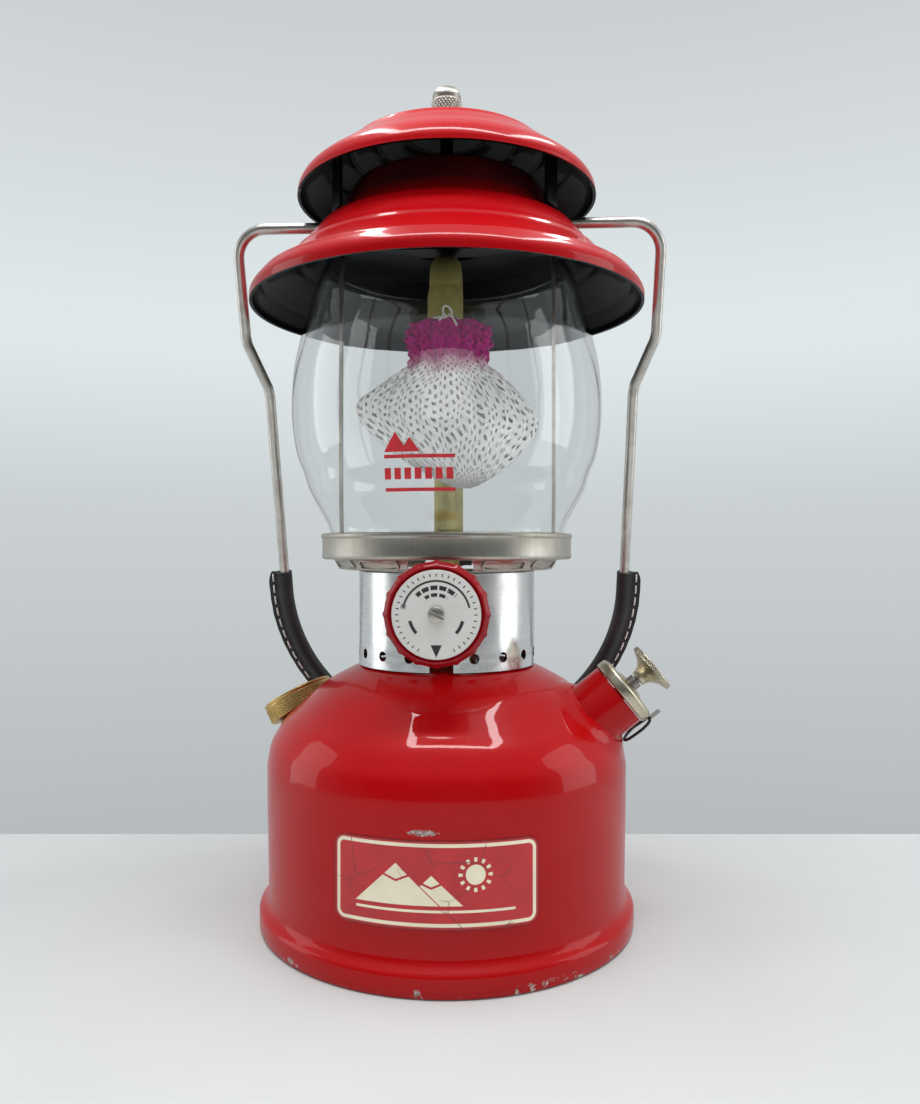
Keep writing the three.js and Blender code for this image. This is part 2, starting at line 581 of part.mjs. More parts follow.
/** Soft bag hanging round the burner cap. */
function buildMantle() {
  const top = BURNER_END + 10.6;
  const w = MANTLE_W;
  const d = MANTLE_D;
  const rings = [
    [0, 0.5 * w, 0.94 * d], [-8, 0.46 * w, 0.94 * d], [-13, 0.58 * w, 0.97 * d],
    [-21, 0.84 * w, d], [-29, w, d], [-39, 0.84 * w, 0.93 * d], [-49, 0.5 * w, 0.75 * d],
    [-57.5, 0.13 * w, 0.3 * d],
  ];
  const around = 24;
  const position = [];
  const index = [];
  for (const [dz, a, b] of rings) {
    for (let i = 0; i < around; i += 1) {
      const t = (i / around) * 2 * Math.PI;
      position.push(0.7 + a * Math.cos(t), BURNER_Y + b * Math.sin(t), top + dz);
    }
  }
  for (let k = 0; k + 1 < rings.length; k += 1) {
    for (let i = 0; i < around; i += 1) {
      const j = (i + 1) % around;
      const p = k * around;
      index.push(p + i, p + around + i, p + j, p + j, p + around + i, p + around + j);
    }
  }
  const last = (rings.length - 1) * around;
  for (let i = 1; i + 1 < around; i += 1) {
    index.push(0, i, i + 1, last, last + i + 1, last + i);
  }
  const g = new THREE.BufferGeometry();
  g.setAttribute('position', new THREE.BufferAttribute(new Float32Array(position), 3));
  g.setIndex(index);
  const bore = rod(BURNER_TUBE_R + 1.2, BURNER_END - 1, top + 5).translate([0, BURNER_Y, 0]);
  add('mantle', solid(g).subtract(bore), 0xe9e6e2, 0.95, 0);
}

// ---------------------------------------------------------------- globe
function buildGlobe() {
  const outer = GLOBE_CURVE.map(([r, t]) => [r * GLOBE_R, GLOBE_Z + t * GLOBE_H]);
  const inner = outer.map(([r, z]) => [r - GLASS_T, z]).reverse();
  add('globe', spin([...outer, ...inner], WIDE), 0xe8f0f0, 0.05, 0);
}

// ---------------------------------------------------------------- ventilator
function buildVentilator() {
  const skirtOut = SKIRT_CURVE.map(([r, h]) => [r * SKIRT_R, SKIRT_Z + h]);
  const top = skirtOut[skirtOut.length - 1];
  const skirtIn = SKIRT_CURVE.map(([r, h]) => [r * SKIRT_R - WALL, SKIRT_Z + Math.max(0, h - 0.7 * WALL)]);
  const inReverse = skirtIn.slice(0, -1).reverse();
  const lip = [[top[0] - 5, top[1]], [top[0] - 5, top[1] - WALL]];
  let skirt = spin([...skirtOut, ...lip, ...inReverse], WIDE);
  const holeR = WIRE_R + TURN_GAP;
  const cross = rod(holeR, -60, 60, SMALL).rotate([0, 90, 0]).translate([0, 0, PIVOT_Z]);
  skirt = skirt.subtract(cross);
  add('vent_skirt', skirt, RED, 0.25, 0);

  const capOut = CAP_CURVE.map(([r, h]) => [r * CAP_R, CAP_Z + h]);
  const capIn = CAP_CURVE.map(([r, h], i) => {
    const share = i / (CAP_CURVE.length - 1);
    return [Math.max(0, r * CAP_R - WALL * (1 - share)), CAP_Z + Math.max(0, h - WALL * Math.min(1, 0.5 + share))];
  }).reverse();
  const cap = spin([...capOut.slice().reverse(), ...capIn.slice().reverse()], WIDE);
  add('vent_cap', cap.subtract(rod(STUD_R + TURN_GAP, CAP_Z, CAP_TOP + 5, SMALL)), RED, 0.25, 0);

  const strutR = STRUT_SHARE * SKIRT_R;
  const foot = SKIRT_Z + 31.3 + GAP;
  const head = CAP_Z + 10.6 - GAP;
  [-28, 28, 152, 208].forEach((turn, i) => {
    const strap = block(strutR - 0.6, -STRUT_W / 2, foot, strutR + 0.6, STRUT_W / 2, head);
    add(`vent_strut_${i + 1}`, strap.rotate([0, 0, turn]), BLACK, 0.5, 0);
  });

  const floor = BAFFLE_Z;
  const ear = 1.4;
  const earOut = EAR_R - 0.4;
  let baffle = pipe(BAFFLE_R, STUD_R + 14, floor, floor + WALL, MEDIUM)
    .add(block(-BAFFLE_R + 1, -4, floor, BAFFLE_R - 1, 4, floor + WALL));
  for (const side of [-1, 1]) {
    const x0 = side > 0 ? earOut - ear : -earOut;
    baffle = baffle.add(block(x0, -5, floor, x0 + ear, 5, PIVOT_Z + 5));
  }
  baffle = baffle.subtract(cross).subtract(rod(STUD_R + TURN_GAP, floor - 2, floor + 5, SMALL));
  add('vent_baffle', baffle, BLACK, 0.5, 0);

  const z = CAP_TOP + GAP;
  const mid = z + NUT_H - NUT_R;
  const ball = [[STUD_R + TURN_GAP, z], [NUT_R - 0.6, z], [NUT_R - 0.6, z + 2.4], [3.6, z + 3.2]];
  for (let i = 1; i <= 6; i += 1) {
    const a = (-52 + 142 * (i / 6)) * DEG;
    ball.push([i === 6 ? 0 : NUT_R * Math.cos(a), mid + NUT_R * Math.sin(a)]);
  }
  ball.push([0, CAP_TOP + NUT_H - 5 + TURN_GAP], [STUD_R + TURN_GAP, CAP_TOP + NUT_H - 5 + TURN_GAP]);
  add('ball_nut', spin([...ball.slice(-2), ...ball.slice(0, -2)], MEDIUM), NICKEL, 0.3, 1);
}

// ---------------------------------------------------------------- bail
function buildBail() {
  const w = SKIRT_R + BAIL_OUT;
  const arch = TANK_R + BAIL_ARCH_EXTRA;
  const centre = BAIL_LENGTH - arch;
  const c = BAIL_CORNER_R;
  const end = EAR_R - 5;
  const half = [[end, 0], [(end + w - c) / 2, 0], [w - c - 2, 0]];
  for (let i = 0; i <= 6; i += 1) {
    const a = (i / 6) * 90 * DEG;
    half.push([w - c + c * Math.sin(a), c - c * Math.cos(a)]);
  }
  half.push([w, BAIL_LEG - 14], [w, BAIL_LEG - 3], [w - 0.5, BAIL_LEG]);
  half.push([(w + arch) / 2, BAIL_LEG + BAIL_JOG / 2]);
  half.push([arch + 0.5, BAIL_LEG + BAIL_JOG], [arch, BAIL_LEG + BAIL_JOG + 4]);
  half.push([arch, (BAIL_LEG + BAIL_JOG + centre) / 2], [arch, centre - GRIP_OVER]);
  const bow = [];
  for (let i = 0; i <= 24; i += 1) {
    const a = (i / 24) * Math.PI;
    bow.push([arch * Math.cos(a), centre + arch * Math.sin(a)]);
  }
  const left = half.map(([x, l]) => [-x, l]).reverse();
  const toCurve = (list) => new THREE.CatmullRomCurve3(
    list.map(([x, l]) => new THREE.Vector3(x, 0, -l)), false, 'centripetal',
  );
  const round = new THREE.Shape();
  round.absarc(0, 0, WIRE_R, 0, 2 * Math.PI, false);
  const hang = (body) => body.rotate([BAIL_REST / DEG, 0, 0]).translate([0, 0, PIVOT_Z]);
  add('bail_wire', hang(sweep(round, toCurve([...half, ...bow, ...left]), 72)), NICKEL, 0.3, 1);

  const sleeve = new THREE.Shape();
  sleeve.absarc(0, 0, GRIP_R, 0, 2 * Math.PI, false);
  const bore = new THREE.Path();
  bore.absarc(0, 0, WIRE_R + GAP, 0, 2 * Math.PI, true);
  sleeve.holes.push(bore);
  const gripPath = [[arch, centre - GRIP_OVER], ...bow, [-arch, centre - GRIP_OVER]];
  const grip = sweep(sleeve, toCurve(gripPath), 24);
  const outerFlap = pipe(arch + GRIP_R + GRIP_FLAP, arch + GRIP_R - 0.3, -0.6, 0.6, 48)
    .rotate([90, 0, 0]).translate([0, 0, -centre])
    .subtract(block(-120, -3, -centre, 120, 3, -centre + 120));
  add('bail_grip', hang(grip.add(outerFlap)), 0x141416, 0.55, 0);
}

buildTank();
buildFiller();
buildPump();
buildCollar();
buildValve();
buildRest();
buildCage();
buildBurner();
buildMantle();
buildGlobe();
buildVentilator();
buildBail();

export default parts;
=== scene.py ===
"""Looks of a single-mantle pressure lantern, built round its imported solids.

Lengths in the tables are millimetres in the lantern's own frame: +Z up along the tank axis,
the valve knob towards -Y and the hand pump towards +X.
"""

import logging
import math
from dataclasses import dataclass
from enum import Enum
from typing import Callable, Sequence

import bpy
from mathutils import Euler, Matrix, Vector, noise


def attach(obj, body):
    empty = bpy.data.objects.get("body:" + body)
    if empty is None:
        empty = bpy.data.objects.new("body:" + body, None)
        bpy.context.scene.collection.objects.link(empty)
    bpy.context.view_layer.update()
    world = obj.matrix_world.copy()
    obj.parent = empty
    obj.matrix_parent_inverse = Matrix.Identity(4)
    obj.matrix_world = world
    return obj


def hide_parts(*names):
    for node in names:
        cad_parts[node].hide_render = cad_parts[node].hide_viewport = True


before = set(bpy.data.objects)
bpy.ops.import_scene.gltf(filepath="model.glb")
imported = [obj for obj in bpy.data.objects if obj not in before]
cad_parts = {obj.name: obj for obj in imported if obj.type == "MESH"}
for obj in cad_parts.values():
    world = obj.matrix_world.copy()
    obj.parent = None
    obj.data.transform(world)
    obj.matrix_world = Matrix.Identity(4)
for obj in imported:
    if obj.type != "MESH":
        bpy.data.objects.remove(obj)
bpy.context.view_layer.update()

LOG = logging.getLogger("lantern")
MM = 0.001
POLE = 0.0005
Piece = bpy.types.Object
Finish = bpy.types.Material
Profile = Sequence[tuple[float, float]]
Outline = list[tuple[float, float]]
Triple = tuple[float, float, float]


class Body(Enum):
    """Bodies of the lantern that a piece can ride on."""

    BASE = "base"
    FILLER_LID = "filler_lid"
    PLUNGER = "plunger"
    PUMP_HANDLE = "pump_handle"
    VALVE = "valve_control"
    CHIMNEY = "chimney"
    VENTILATOR = "ventilator"
    BAIL = "bail"
    TOP_NUT = "top_nut"


class Slot(Enum):
    """Material slots of the record."""

    RED = "red_enamel"
    BLACK = "black_enamel"
    CHROME = "chrome_plate"
    NICKEL = "nickel_plate"
    STEEL = "steel"
    BRASS = "brass"
    GLASS = "glass"
    KNIT = "mantle_knit"
    STRING = "cotton_string"
    LEATHER = "grip_leather"
    CUP = "pump_leather"
    RUBBER = "gasket_rubber"
    DIAL = "dial_plate"
    WIRE = "spring_wire"
    CERAMIC = "burner_ceramic"


# ------------------------------------------------------------------ modelling helpers
def deselect() -> None:
    """Leave edit mode and select nothing."""
    if bpy.context.object and bpy.context.object.mode != "OBJECT":
        bpy.ops.object.mode_set(mode="OBJECT")
    bpy.ops.object.select_all(action="DESELECT")


def only(obj: Piece) -> None:
    """Make one object the selected and active one."""
    deselect()
    obj.select_set(True)
    bpy.context.view_layer.objects.active = obj


def edit(obj: Piece) -> None:
    """Open a piece for editing with all of it selected."""
    only(obj)
    bpy.ops.object.mode_set(mode="EDIT")
    bpy.ops.mesh.select_all(action="SELECT")


def settle(obj: Piece) -> Piece:
    """Put a piece's place, turn and size into its mesh."""
    only(obj)
    bpy.ops.object.transform_apply(location=True, rotation=True, scale=True)
    return obj


def apply_modifier(obj: Piece, kind: str, **values: object) -> None:
    """Add one modifier with its values and apply it.

    Args:
        obj: the mesh object.
        kind: Blender's modifier type, such as SOLIDIFY.
        values: attributes to set on it.
    """
    only(obj)
    modifier = obj.modifiers.new(kind.title(), kind)
    for key, value in values.items():
        setattr(modifier, key, value)
    bpy.ops.object.modifier_apply(modifier=modifier.name)


def smooth(obj: Piece, angle: float = 40.0) -> Piece:
    """Shade smooth below an angle in degrees."""
    only(obj)
    bpy.ops.object.shade_smooth_by_angle(angle=math.radians(angle))
    return obj


def tidy_mesh(obj: Piece, reach: float = 0.002) -> Piece:
    """Merge doubled points within reach millimetres and face all outwards."""
    edit(obj)
    bpy.ops.mesh.remove_doubles(threshold=reach * MM)
    bpy.ops.mesh.normals_make_consistent(inside=False)
    bpy.ops.object.mode_set(mode="OBJECT")
    return obj


def rounded(profile: Profile, radius: float, steps: int = 3) -> Outline:
    """Round the corners of an outline.

    Args:
        profile: (radius, height) points; first and last points stay.
        radius: most that a corner is cut back.
        steps: segments in each rounding.

    Returns:
        The outline with an arc-like run at each sharp corner.
    """
    out = [profile[0]]
    for before, here, after in zip(profile, profile[1:], profile[2:]):
        p, a, b = Vector(here), Vector(before), Vector(after)
        to_a, to_b = a - p, b - p
        if to_a.length < 1e-6 or to_b.length < 1e-6 or to_a.angle(to_b) > math.radians(150):
            out.append(here)
            continue
        cut = min(radius, to_a.length * 0.45, to_b.length * 0.45)
        start, end = p + to_a.normalized() * cut, p + to_b.normalized() * cut
        for i in range(steps + 1):
            t = i / steps
            q = start * (1 - t) ** 2 + p * (2 * t * (1 - t)) + end * t * t
            out.append((q.x, q.y))
    out.append(profile[-1])
    return out


def turned(name: str, profile: Profile, around: int = 96) -> Piece:
    """Turn a (radius, height) outline about +Z, ring by ring.

    Args:
        name: name of the piece.
        profile: outline in millimetres; it ends on the axis or comes back to its start.
        around: points in each ring.

    Returns:
        A closed mesh object at the origin.
    """
    deselect()
    points = [(max(r, POLE), z) for r, z in profile]
    r0, z0 = points[0]
    bpy.ops.mesh.primitive_circle_add(vertices=around, radius=r0 * MM, location=(0, 0, z0 * MM))
    obj = bpy.context.object
    obj.name = name
    edit(obj)
    for (pr, pz), (r, z) in zip(points, points[1:]):
        bpy.ops.mesh.extrude_edges_move(TRANSFORM_OT_translate={"value": (0, 0, (z - pz) * MM)})
        if abs(r - pr) > 1e-9:
            bpy.ops.transform.resize(value=(r / pr, r / pr, 1), center_override=(0, 0, z * MM))
    bpy.ops.object.mode_set(mode="OBJECT")
    settle(obj)
    return tidy_mesh(obj)


def reshape(obj: Piece, move: Callable[[Vector], Vector]) -> Piece:
    """Move every point of a mesh by a rule given in millimetres."""
    for vertex in obj.data.vertices:
        vertex.co = move(vertex.co / MM) * MM
    obj.data.update()
    return obj


def swept(name: str, points: Sequence[Sequence[float]], radius: float, sides: int = 12,
          ring: bool = False) -> Piece:
    """Sweep a round section along a smooth run of points in millimetres.

    Args:
        name: name of the piece.
        points: the centreline.
        radius: section radius.
        sides: points round the section, a multiple of four.
        ring: whether the line closes on itself.

    Returns:
        A mesh tube with filled ends.
    """
    deselect()
    curve = bpy.data.curves.new(name, "CURVE")
    curve.dimensions = "3D"
    curve.bevel_depth = radius * MM
    curve.bevel_resolution = sides // 2 - 2
    curve.use_fill_caps = not ring
    spline = curve.splines.new("POLY")
    spline.points.add(len(points) - 1)
    for target, point in zip(spline.points, points):
        target.co = (point[0] * MM, point[1] * MM, point[2] * MM, 1)
    spline.use_cyclic_u = ring
    obj = bpy.data.objects.new(name, curve)
    bpy.context.collection.objects.link(obj)
    only(obj)
    bpy.ops.object.convert(target="MESH")
    obj = bpy.context.object
    obj.name = name
    return tidy_mesh(obj)


def catmull(points: Sequence[Sequence[float]], steps: int) -> list[Vector]:
    """Smooth run of points through the given ones, steps to each span.

    Args:
        points: points that it passes through.
        steps: points to each span.

    Returns:
        The smooth run.
    """
    pts = [Vector(p) for p in points]
    pts = [pts[0] * 2 - pts[1], *pts, pts[-1] * 2 - pts[-2]]
    out = []
    for a, b, c, d in zip(pts, pts[1:], pts[2:], pts[3:]):
        for i in range(steps):
            t = i / steps
            out.append(0.5 * ((2 * b) + (c - a) * t + (2 * a - 5 * b + 4 * c - d) * t * t
                              + (3 * b - a - 3 * c + d) * t ** 3))
    out.append(pts[-2])
    return out


def chamfered_box(name: str, size: Sequence[float], centre: Sequence[float], edge: float = 0.3) -> Piece:
    """Box with softened edges, sizes in millimetres.

    Args:
        name: name of the piece.
        size: width, depth and height.
        centre: middle of the piece.
        edge: width of the bevel.

    Returns:
        The box.
    """
    deselect()
    bpy.ops.mesh.primitive_cube_add(size=MM, location=[c * MM for c in centre], scale=size)
    obj = bpy.context.object
    obj.name = name
    settle(obj)
    apply_modifier(obj, "BEVEL", width=edge * MM, segments=2)
    return obj


def joined(name: str, pieces: Sequence[Piece]) -> Piece:
    """Join meshes into one piece.

    Args:
        name: name of the piece.
        pieces: the meshes.

    Returns:
        The joined piece.
    """
    only(pieces[0])
    for piece in pieces:
        piece.select_set(True)
    bpy.context.view_layer.objects.active = pieces[0]
    bpy.ops.object.join()
    obj = bpy.context.object
    obj.name = name
    return obj


def cut(obj: Piece, tool: Piece) -> Piece:
    """Cut one closed mesh out of another."""
    apply_modifier(obj, "BOOLEAN", operation="DIFFERENCE", object=tool, solver="EXACT")
    bpy.data.objects.remove(tool)
    return obj


def hex_bar(name: str, radius: float, z0: float, z1: float, bore: float = 0.0) -> Piece:
    """Upright hexagonal nut blank with chamfered corners.

    Args:
        name: name of the piece.
        radius: radius over the corners.
        z0: lower end.
        z1: upper end.
        bore: radius of the hole, or 0.

    Returns:
        The blank.
    """
    outline = [(max(bore, 0), z0), (radius * 0.9, z0), (radius, z0 + 0.6), (radius, z1 - 0.6),
               (radius * 0.9, z1), (max(bore, 0), z1)]
    if bore:
        outline.append(outline[0])
    obj = turned(name, outline, 48)

    def flatten(p: Vector) -> Vector:
        """Bring a point inside the six flats."""
        angle = math.atan2(p.y, p.x)
        turn = (angle + math.pi / 6) % (math.pi / 3) - math.pi / 6
        limit = radius * math.cos(math.pi / 6) / math.cos(turn)
        r = math.hypot(p.x, p.y)
        k = min(1.0, limit / r) if r > bore + 0.5 else 1.0
        return Vector((p.x * k, p.y * k, p.z))

    return reshape(obj, flatten)


def deliver(obj: Piece, body: Body, slot: Slot, material: Finish | None,
            *nodes: str) -> Piece:
    """Dress a finished piece, hang it on its body and hide the plain solids it replaces.

    Args:
        obj: the piece, at the origin.
        body: what it moves with.
        slot: the record's finish; not used.
        material: its material, or None if it is dressed already.
        nodes: the plain solids it replaces.

    Returns:
        The same piece.
    """
    if material:
        obj.data.materials.clear()
        obj.data.materials.append(material)
    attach(obj, body.value)
    if nodes:
        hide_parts(*nodes)
    LOG.info("%s: %d faces", obj.name, len(obj.data.polygons))
    return obj


# ------------------------------------------------------------------ shader groups
Socket = bpy.types.NodeSocket


class Tree:
    """Short way to add and link nodes in one node tree."""

    def __init__(self, tree: bpy.types.NodeTree) -> None:
        """Wrap a node tree."""
        self.tree = tree

    def node(self, kind: str, **values: object) -> bpy.types.Node:
        """Add a node and set its attributes."""
        made = self.tree.nodes.new(kind)
        for key, value in values.items():
            setattr(made, key, value)
        return made

    def feed(self, target: Socket, source: Socket | float | Sequence[float]) -> None:
        """Link a socket, or set the target's own value."""
        if isinstance(source, bpy.types.NodeSocket):
            self.tree.links.new(source, target)
        else:
            target.default_value = source

    def math(self, operation: str, *terms: Socket | float, clamp: bool = False) -> Socket:
        """Math node over up to three terms."""
        made = self.node("ShaderNodeMath", operation=operation, use_clamp=clamp)
        for target, term in zip(made.inputs, terms):
            self.feed(target, term)
        return made.outputs[0]

    def add(self, a: Socket | float, b: Socket | float, clamp: bool = False) -> Socket:
        """Sum of two values."""
        return self.math("ADD", a, b, clamp=clamp)

    def sub(self, a: Socket | float, b: Socket | float) -> Socket:
        """First value less the second."""
        return self.math("SUBTRACT", a, b)

    def mul(self, a: Socket | float, b: Socket | float) -> Socket:
        """Product of two values."""
        return self.math("MULTIPLY", a, b)

    def most(self, a: Socket | float, b: Socket | float) -> Socket:
        """Larger of two values."""
        return self.math("MAXIMUM", a, b)

    def least(self, a: Socket | float, b: Socket | float) -> Socket:
        """Smaller of two values."""
        return self.math("MINIMUM", a, b)

    def size(self, a: Socket | float) -> Socket:
        """Value without its sign."""
        return self.math("ABSOLUTE", a)

    def noise(self, where: Socket, scale: float | Socket, detail: float = 4.0, rough: float = 0.5) -> Socket:
        """Noise value at a position."""
        made = self.node("ShaderNodeTexNoise")
        self.feed(made.inputs["Vector"], where)
        self.feed(made.inputs["Scale"], scale)
        made.inputs["Detail"].default_value = detail
        made.inputs["Roughness"].default_value = rough
        return made.outputs["Fac"]

    def ramp(self, value: Socket, low: float | Socket, high: float | Socket,
             out_low: float = 0.0, out_high: float = 1.0) -> Socket:
        """Straight ramp between two values, held outside them."""
        made = self.node("ShaderNodeMapRange", clamp=True)
        for target, term in zip(made.inputs, (value, low, high, out_low, out_high)):
            self.feed(target, term)
        return made.outputs[0]

    def mix(self, share: Socket | float, a: Socket | Sequence[float], b: Socket | Sequence[float]) -> Socket:
        """Mix two colours."""
        made = self.node("ShaderNodeMix", data_type="RGBA", clamp_factor=True)
        self.feed(made.inputs[0], share)
        for target, colour in ((made.inputs[6], a), (made.inputs[7], b)):
            self.feed(target, colour if isinstance(colour, bpy.types.NodeSocket) else (*colour[:3], 1.0))
        return made.outputs[2]

    def stretch(self, where: Socket, scale: Sequence[float]) -> Socket:
        """Scale a position by axis."""
        made = self.node("ShaderNodeMapping")
        self.feed(made.inputs["Vector"], where)
        made.inputs["Scale"].default_value = scale
        return made.outputs[0]

    def split(self, where: Socket) -> tuple[Socket, Socket, Socket]:
        """X, Y and Z of a position."""
        made = self.node("ShaderNodeSeparateXYZ")
        self.feed(made.inputs[0], where)
        return made.outputs[0], made.outputs[1], made.outputs[2]

    def where(self) -> Socket:
        """Object coordinates."""
        return self.node("ShaderNodeTexCoord").outputs["Object"]

    def uv(self) -> Socket:
        """The piece's own UV map."""
        return self.node("ShaderNodeTexCoord").outputs["UV"]


def group(name: str, inputs: dict[str, float],
          outputs: Sequence[str]) -> tuple[Tree, bpy.types.Node, bpy.types.Node]:
    """Start a shader node group with a Vector input and the named float sockets.

    Args:
        name: name of the group.
        inputs: float inputs and their defaults.
        outputs: float outputs.

    Returns:
        The tree, its input node and its output node.
    """
    tree = bpy.data.node_groups.new(name, "ShaderNodeTree")
    tree.interface.new_socket(name="Vector", in_out="INPUT", socket_type="NodeSocketVector")
    for label, value in inputs.items():
        made = tree.interface.new_socket(name=label, in_out="INPUT", socket_type="NodeSocketFloat")
        made.default_value = value
    for label in outputs:
        tree.interface.new_socket(name=label, in_out="OUTPUT", socket_type="NodeSocketFloat")
    t = Tree(tree)
    return t, t.node("NodeGroupInput"), t.node("NodeGroupOutput")


class Effects:
    """Surface effects that several finishes share."""

    @staticmethod
    def handling() -> bpy.types.NodeTree:
        """Soft smudges and fine hairline scratches.

        Returns:
            The node group.
        """
        t, source, result = group("handling_marks", {"Scale": 40.0, "Smudge": 0.5, "Scratch": 0.5},
                                  ("Gloss", "Lines"))
        p = source.outputs["Vector"]
        broad = t.noise(p, source.outputs["Scale"], 5.0, 0.6)
        t.feed(result.inputs["Gloss"], t.mul(t.ramp(broad, 0.35, 0.7), source.outputs["Smudge"]))
        lines = None
        for turn, scale in ((0.5, (4.0, 4.0, 0.25)), (1.9, (0.3, 3.0, 3.5)), (2.7, (3.0, 0.25, 4.0))):
            bent = t.node("ShaderNodeMapping")
            t.feed(bent.inputs["Vector"], p)
            bent.inputs["Rotation"].default_value = (turn, turn * 0.6, turn * 1.7)
            bent.inputs["Scale"].default_value = scale
            thin = t.noise(bent.outputs[0], 260.0, 2.0, 0.5)
            line = t.ramp(t.size(t.sub(thin, 0.5)), 0.0, 0.006, 1.0, 0.0)
            lines = line if lines is None else t.most(lines, line)
        patch = t.ramp(t.noise(p, 55.0, 2.0), 0.52, 0.62)
        t.feed(result.inputs["Lines"], t.mul(t.mul(lines, patch), source.outputs["Scratch"]))
        return t.tree

    @staticmethod
    def chips() -> bpy.types.NodeTree:
        """Small ragged spots where a coat has come off.

        Returns:
            The node group.
        """
        t, source, result = group("coat_chips", {"Scale": 120.0, "Amount": 0.3}, ("Mask", "Rim"))
        p = source.outputs["Vector"]
        spot = t.noise(p, source.outputs["Scale"], 6.0, 0.65)
        limit = t.sub(0.9, t.mul(source.outputs["Amount"], 0.4))
        t.feed(result.inputs["Mask"], t.ramp(spot, limit, t.add(limit, 0.012)))
        t.feed(result.inputs["Rim"], t.ramp(spot, t.sub(limit, 0.03), limit))
        return t.tree

    @staticmethod
    def tarnish() -> bpy.types.NodeTree:
        """Cloudy patches and dark specks on bare metal.

        Returns:
            The node group.
        """
        t, source, result = group("tarnish", {"Scale": 60.0, "Patches": 0.5, "Specks": 0.3},
                                  ("Cloud", "Specks"))
        p = source.outputs["Vector"]
        cloud = t.noise(p, source.outputs["Scale"], 7.0, 0.62)
        t.feed(result.inputs["Cloud"], t.mul(t.ramp(cloud, 0.42, 0.68), source.outputs["Patches"]))
        speck = t.noise(p, t.mul(source.outputs["Scale"], 14.0), 3.0, 0.6)
        t.feed(result.inputs["Specks"], t.mul(t.ramp(speck, 0.68, 0.74), source.outputs["Specks"]))
        return t.tree

    @staticmethod
    def grain() -> bpy.types.NodeTree:
        """Fine surface height for orange peel, casting skin or leather."""
        t, source, result = group("surface_grain", {"Scale": 400.0, "Coarse": 0.3}, ("Height",))
        p = source.outputs["Vector"]
        fine = t.noise(p, source.outputs["Scale"], 3.0, 0.5)
        coarse = t.noise(p, t.mul(source.outputs["Scale"], 0.12), 2.0, 0.5)
        t.feed(result.inputs["Height"], t.add(fine, t.mul(coarse, source.outputs["Coarse"])))
        return t.tree


class Coat(Tree):
    """A material's node tree with its Principled shader and the shared effects."""

    shared: dict[str, bpy.types.NodeTree] = {}

    def __init__(self, name: str) -> None:
        """Make the material."""
        self.material = bpy.data.materials.new(name)
        self.material.use_nodes = True
        super().__init__(self.material.node_tree)
        self.shader = self.tree.nodes["Principled BSDF"]

    def effect(self, name: str, where: Socket, **values: float) -> bpy.types.Node:
        """Place a shared effect group with its own values.

        Args:
            name: name of the effect.
            where: position socket.
            values: attributes to set.

        Returns:
            The group node.
        """
        if name not in self.shared:
            self.shared[name] = getattr(Effects, name)()
        made = self.node("ShaderNodeGroup", node_tree=self.shared[name])
        self.feed(made.inputs["Vector"], where)
        for label, value in values.items():
            made.inputs[label].default_value = value
        return made

    def set(self, label: str, value: Socket | float | Sequence[float]) -> None:
        """Feed or set one input of the shader."""
        if not isinstance(value, (bpy.types.NodeSocket, float, int)) and len(value) == 3:
            value = (*value, 1.0)
        self.feed(self.shader.inputs[label], value)

    def bump(self, height: Socket, depth: float, strength: float = 1.0) -> None:
        """Bump from a height, depth in millimetres."""
        made = self.node("ShaderNodeBump")
        made.inputs["Strength"].default_value = strength
        made.inputs["Distance"].default_value = depth * MM
        self.feed(made.inputs["Height"], height)
        self.feed(self.shader.inputs["Normal"], made.outputs[0])


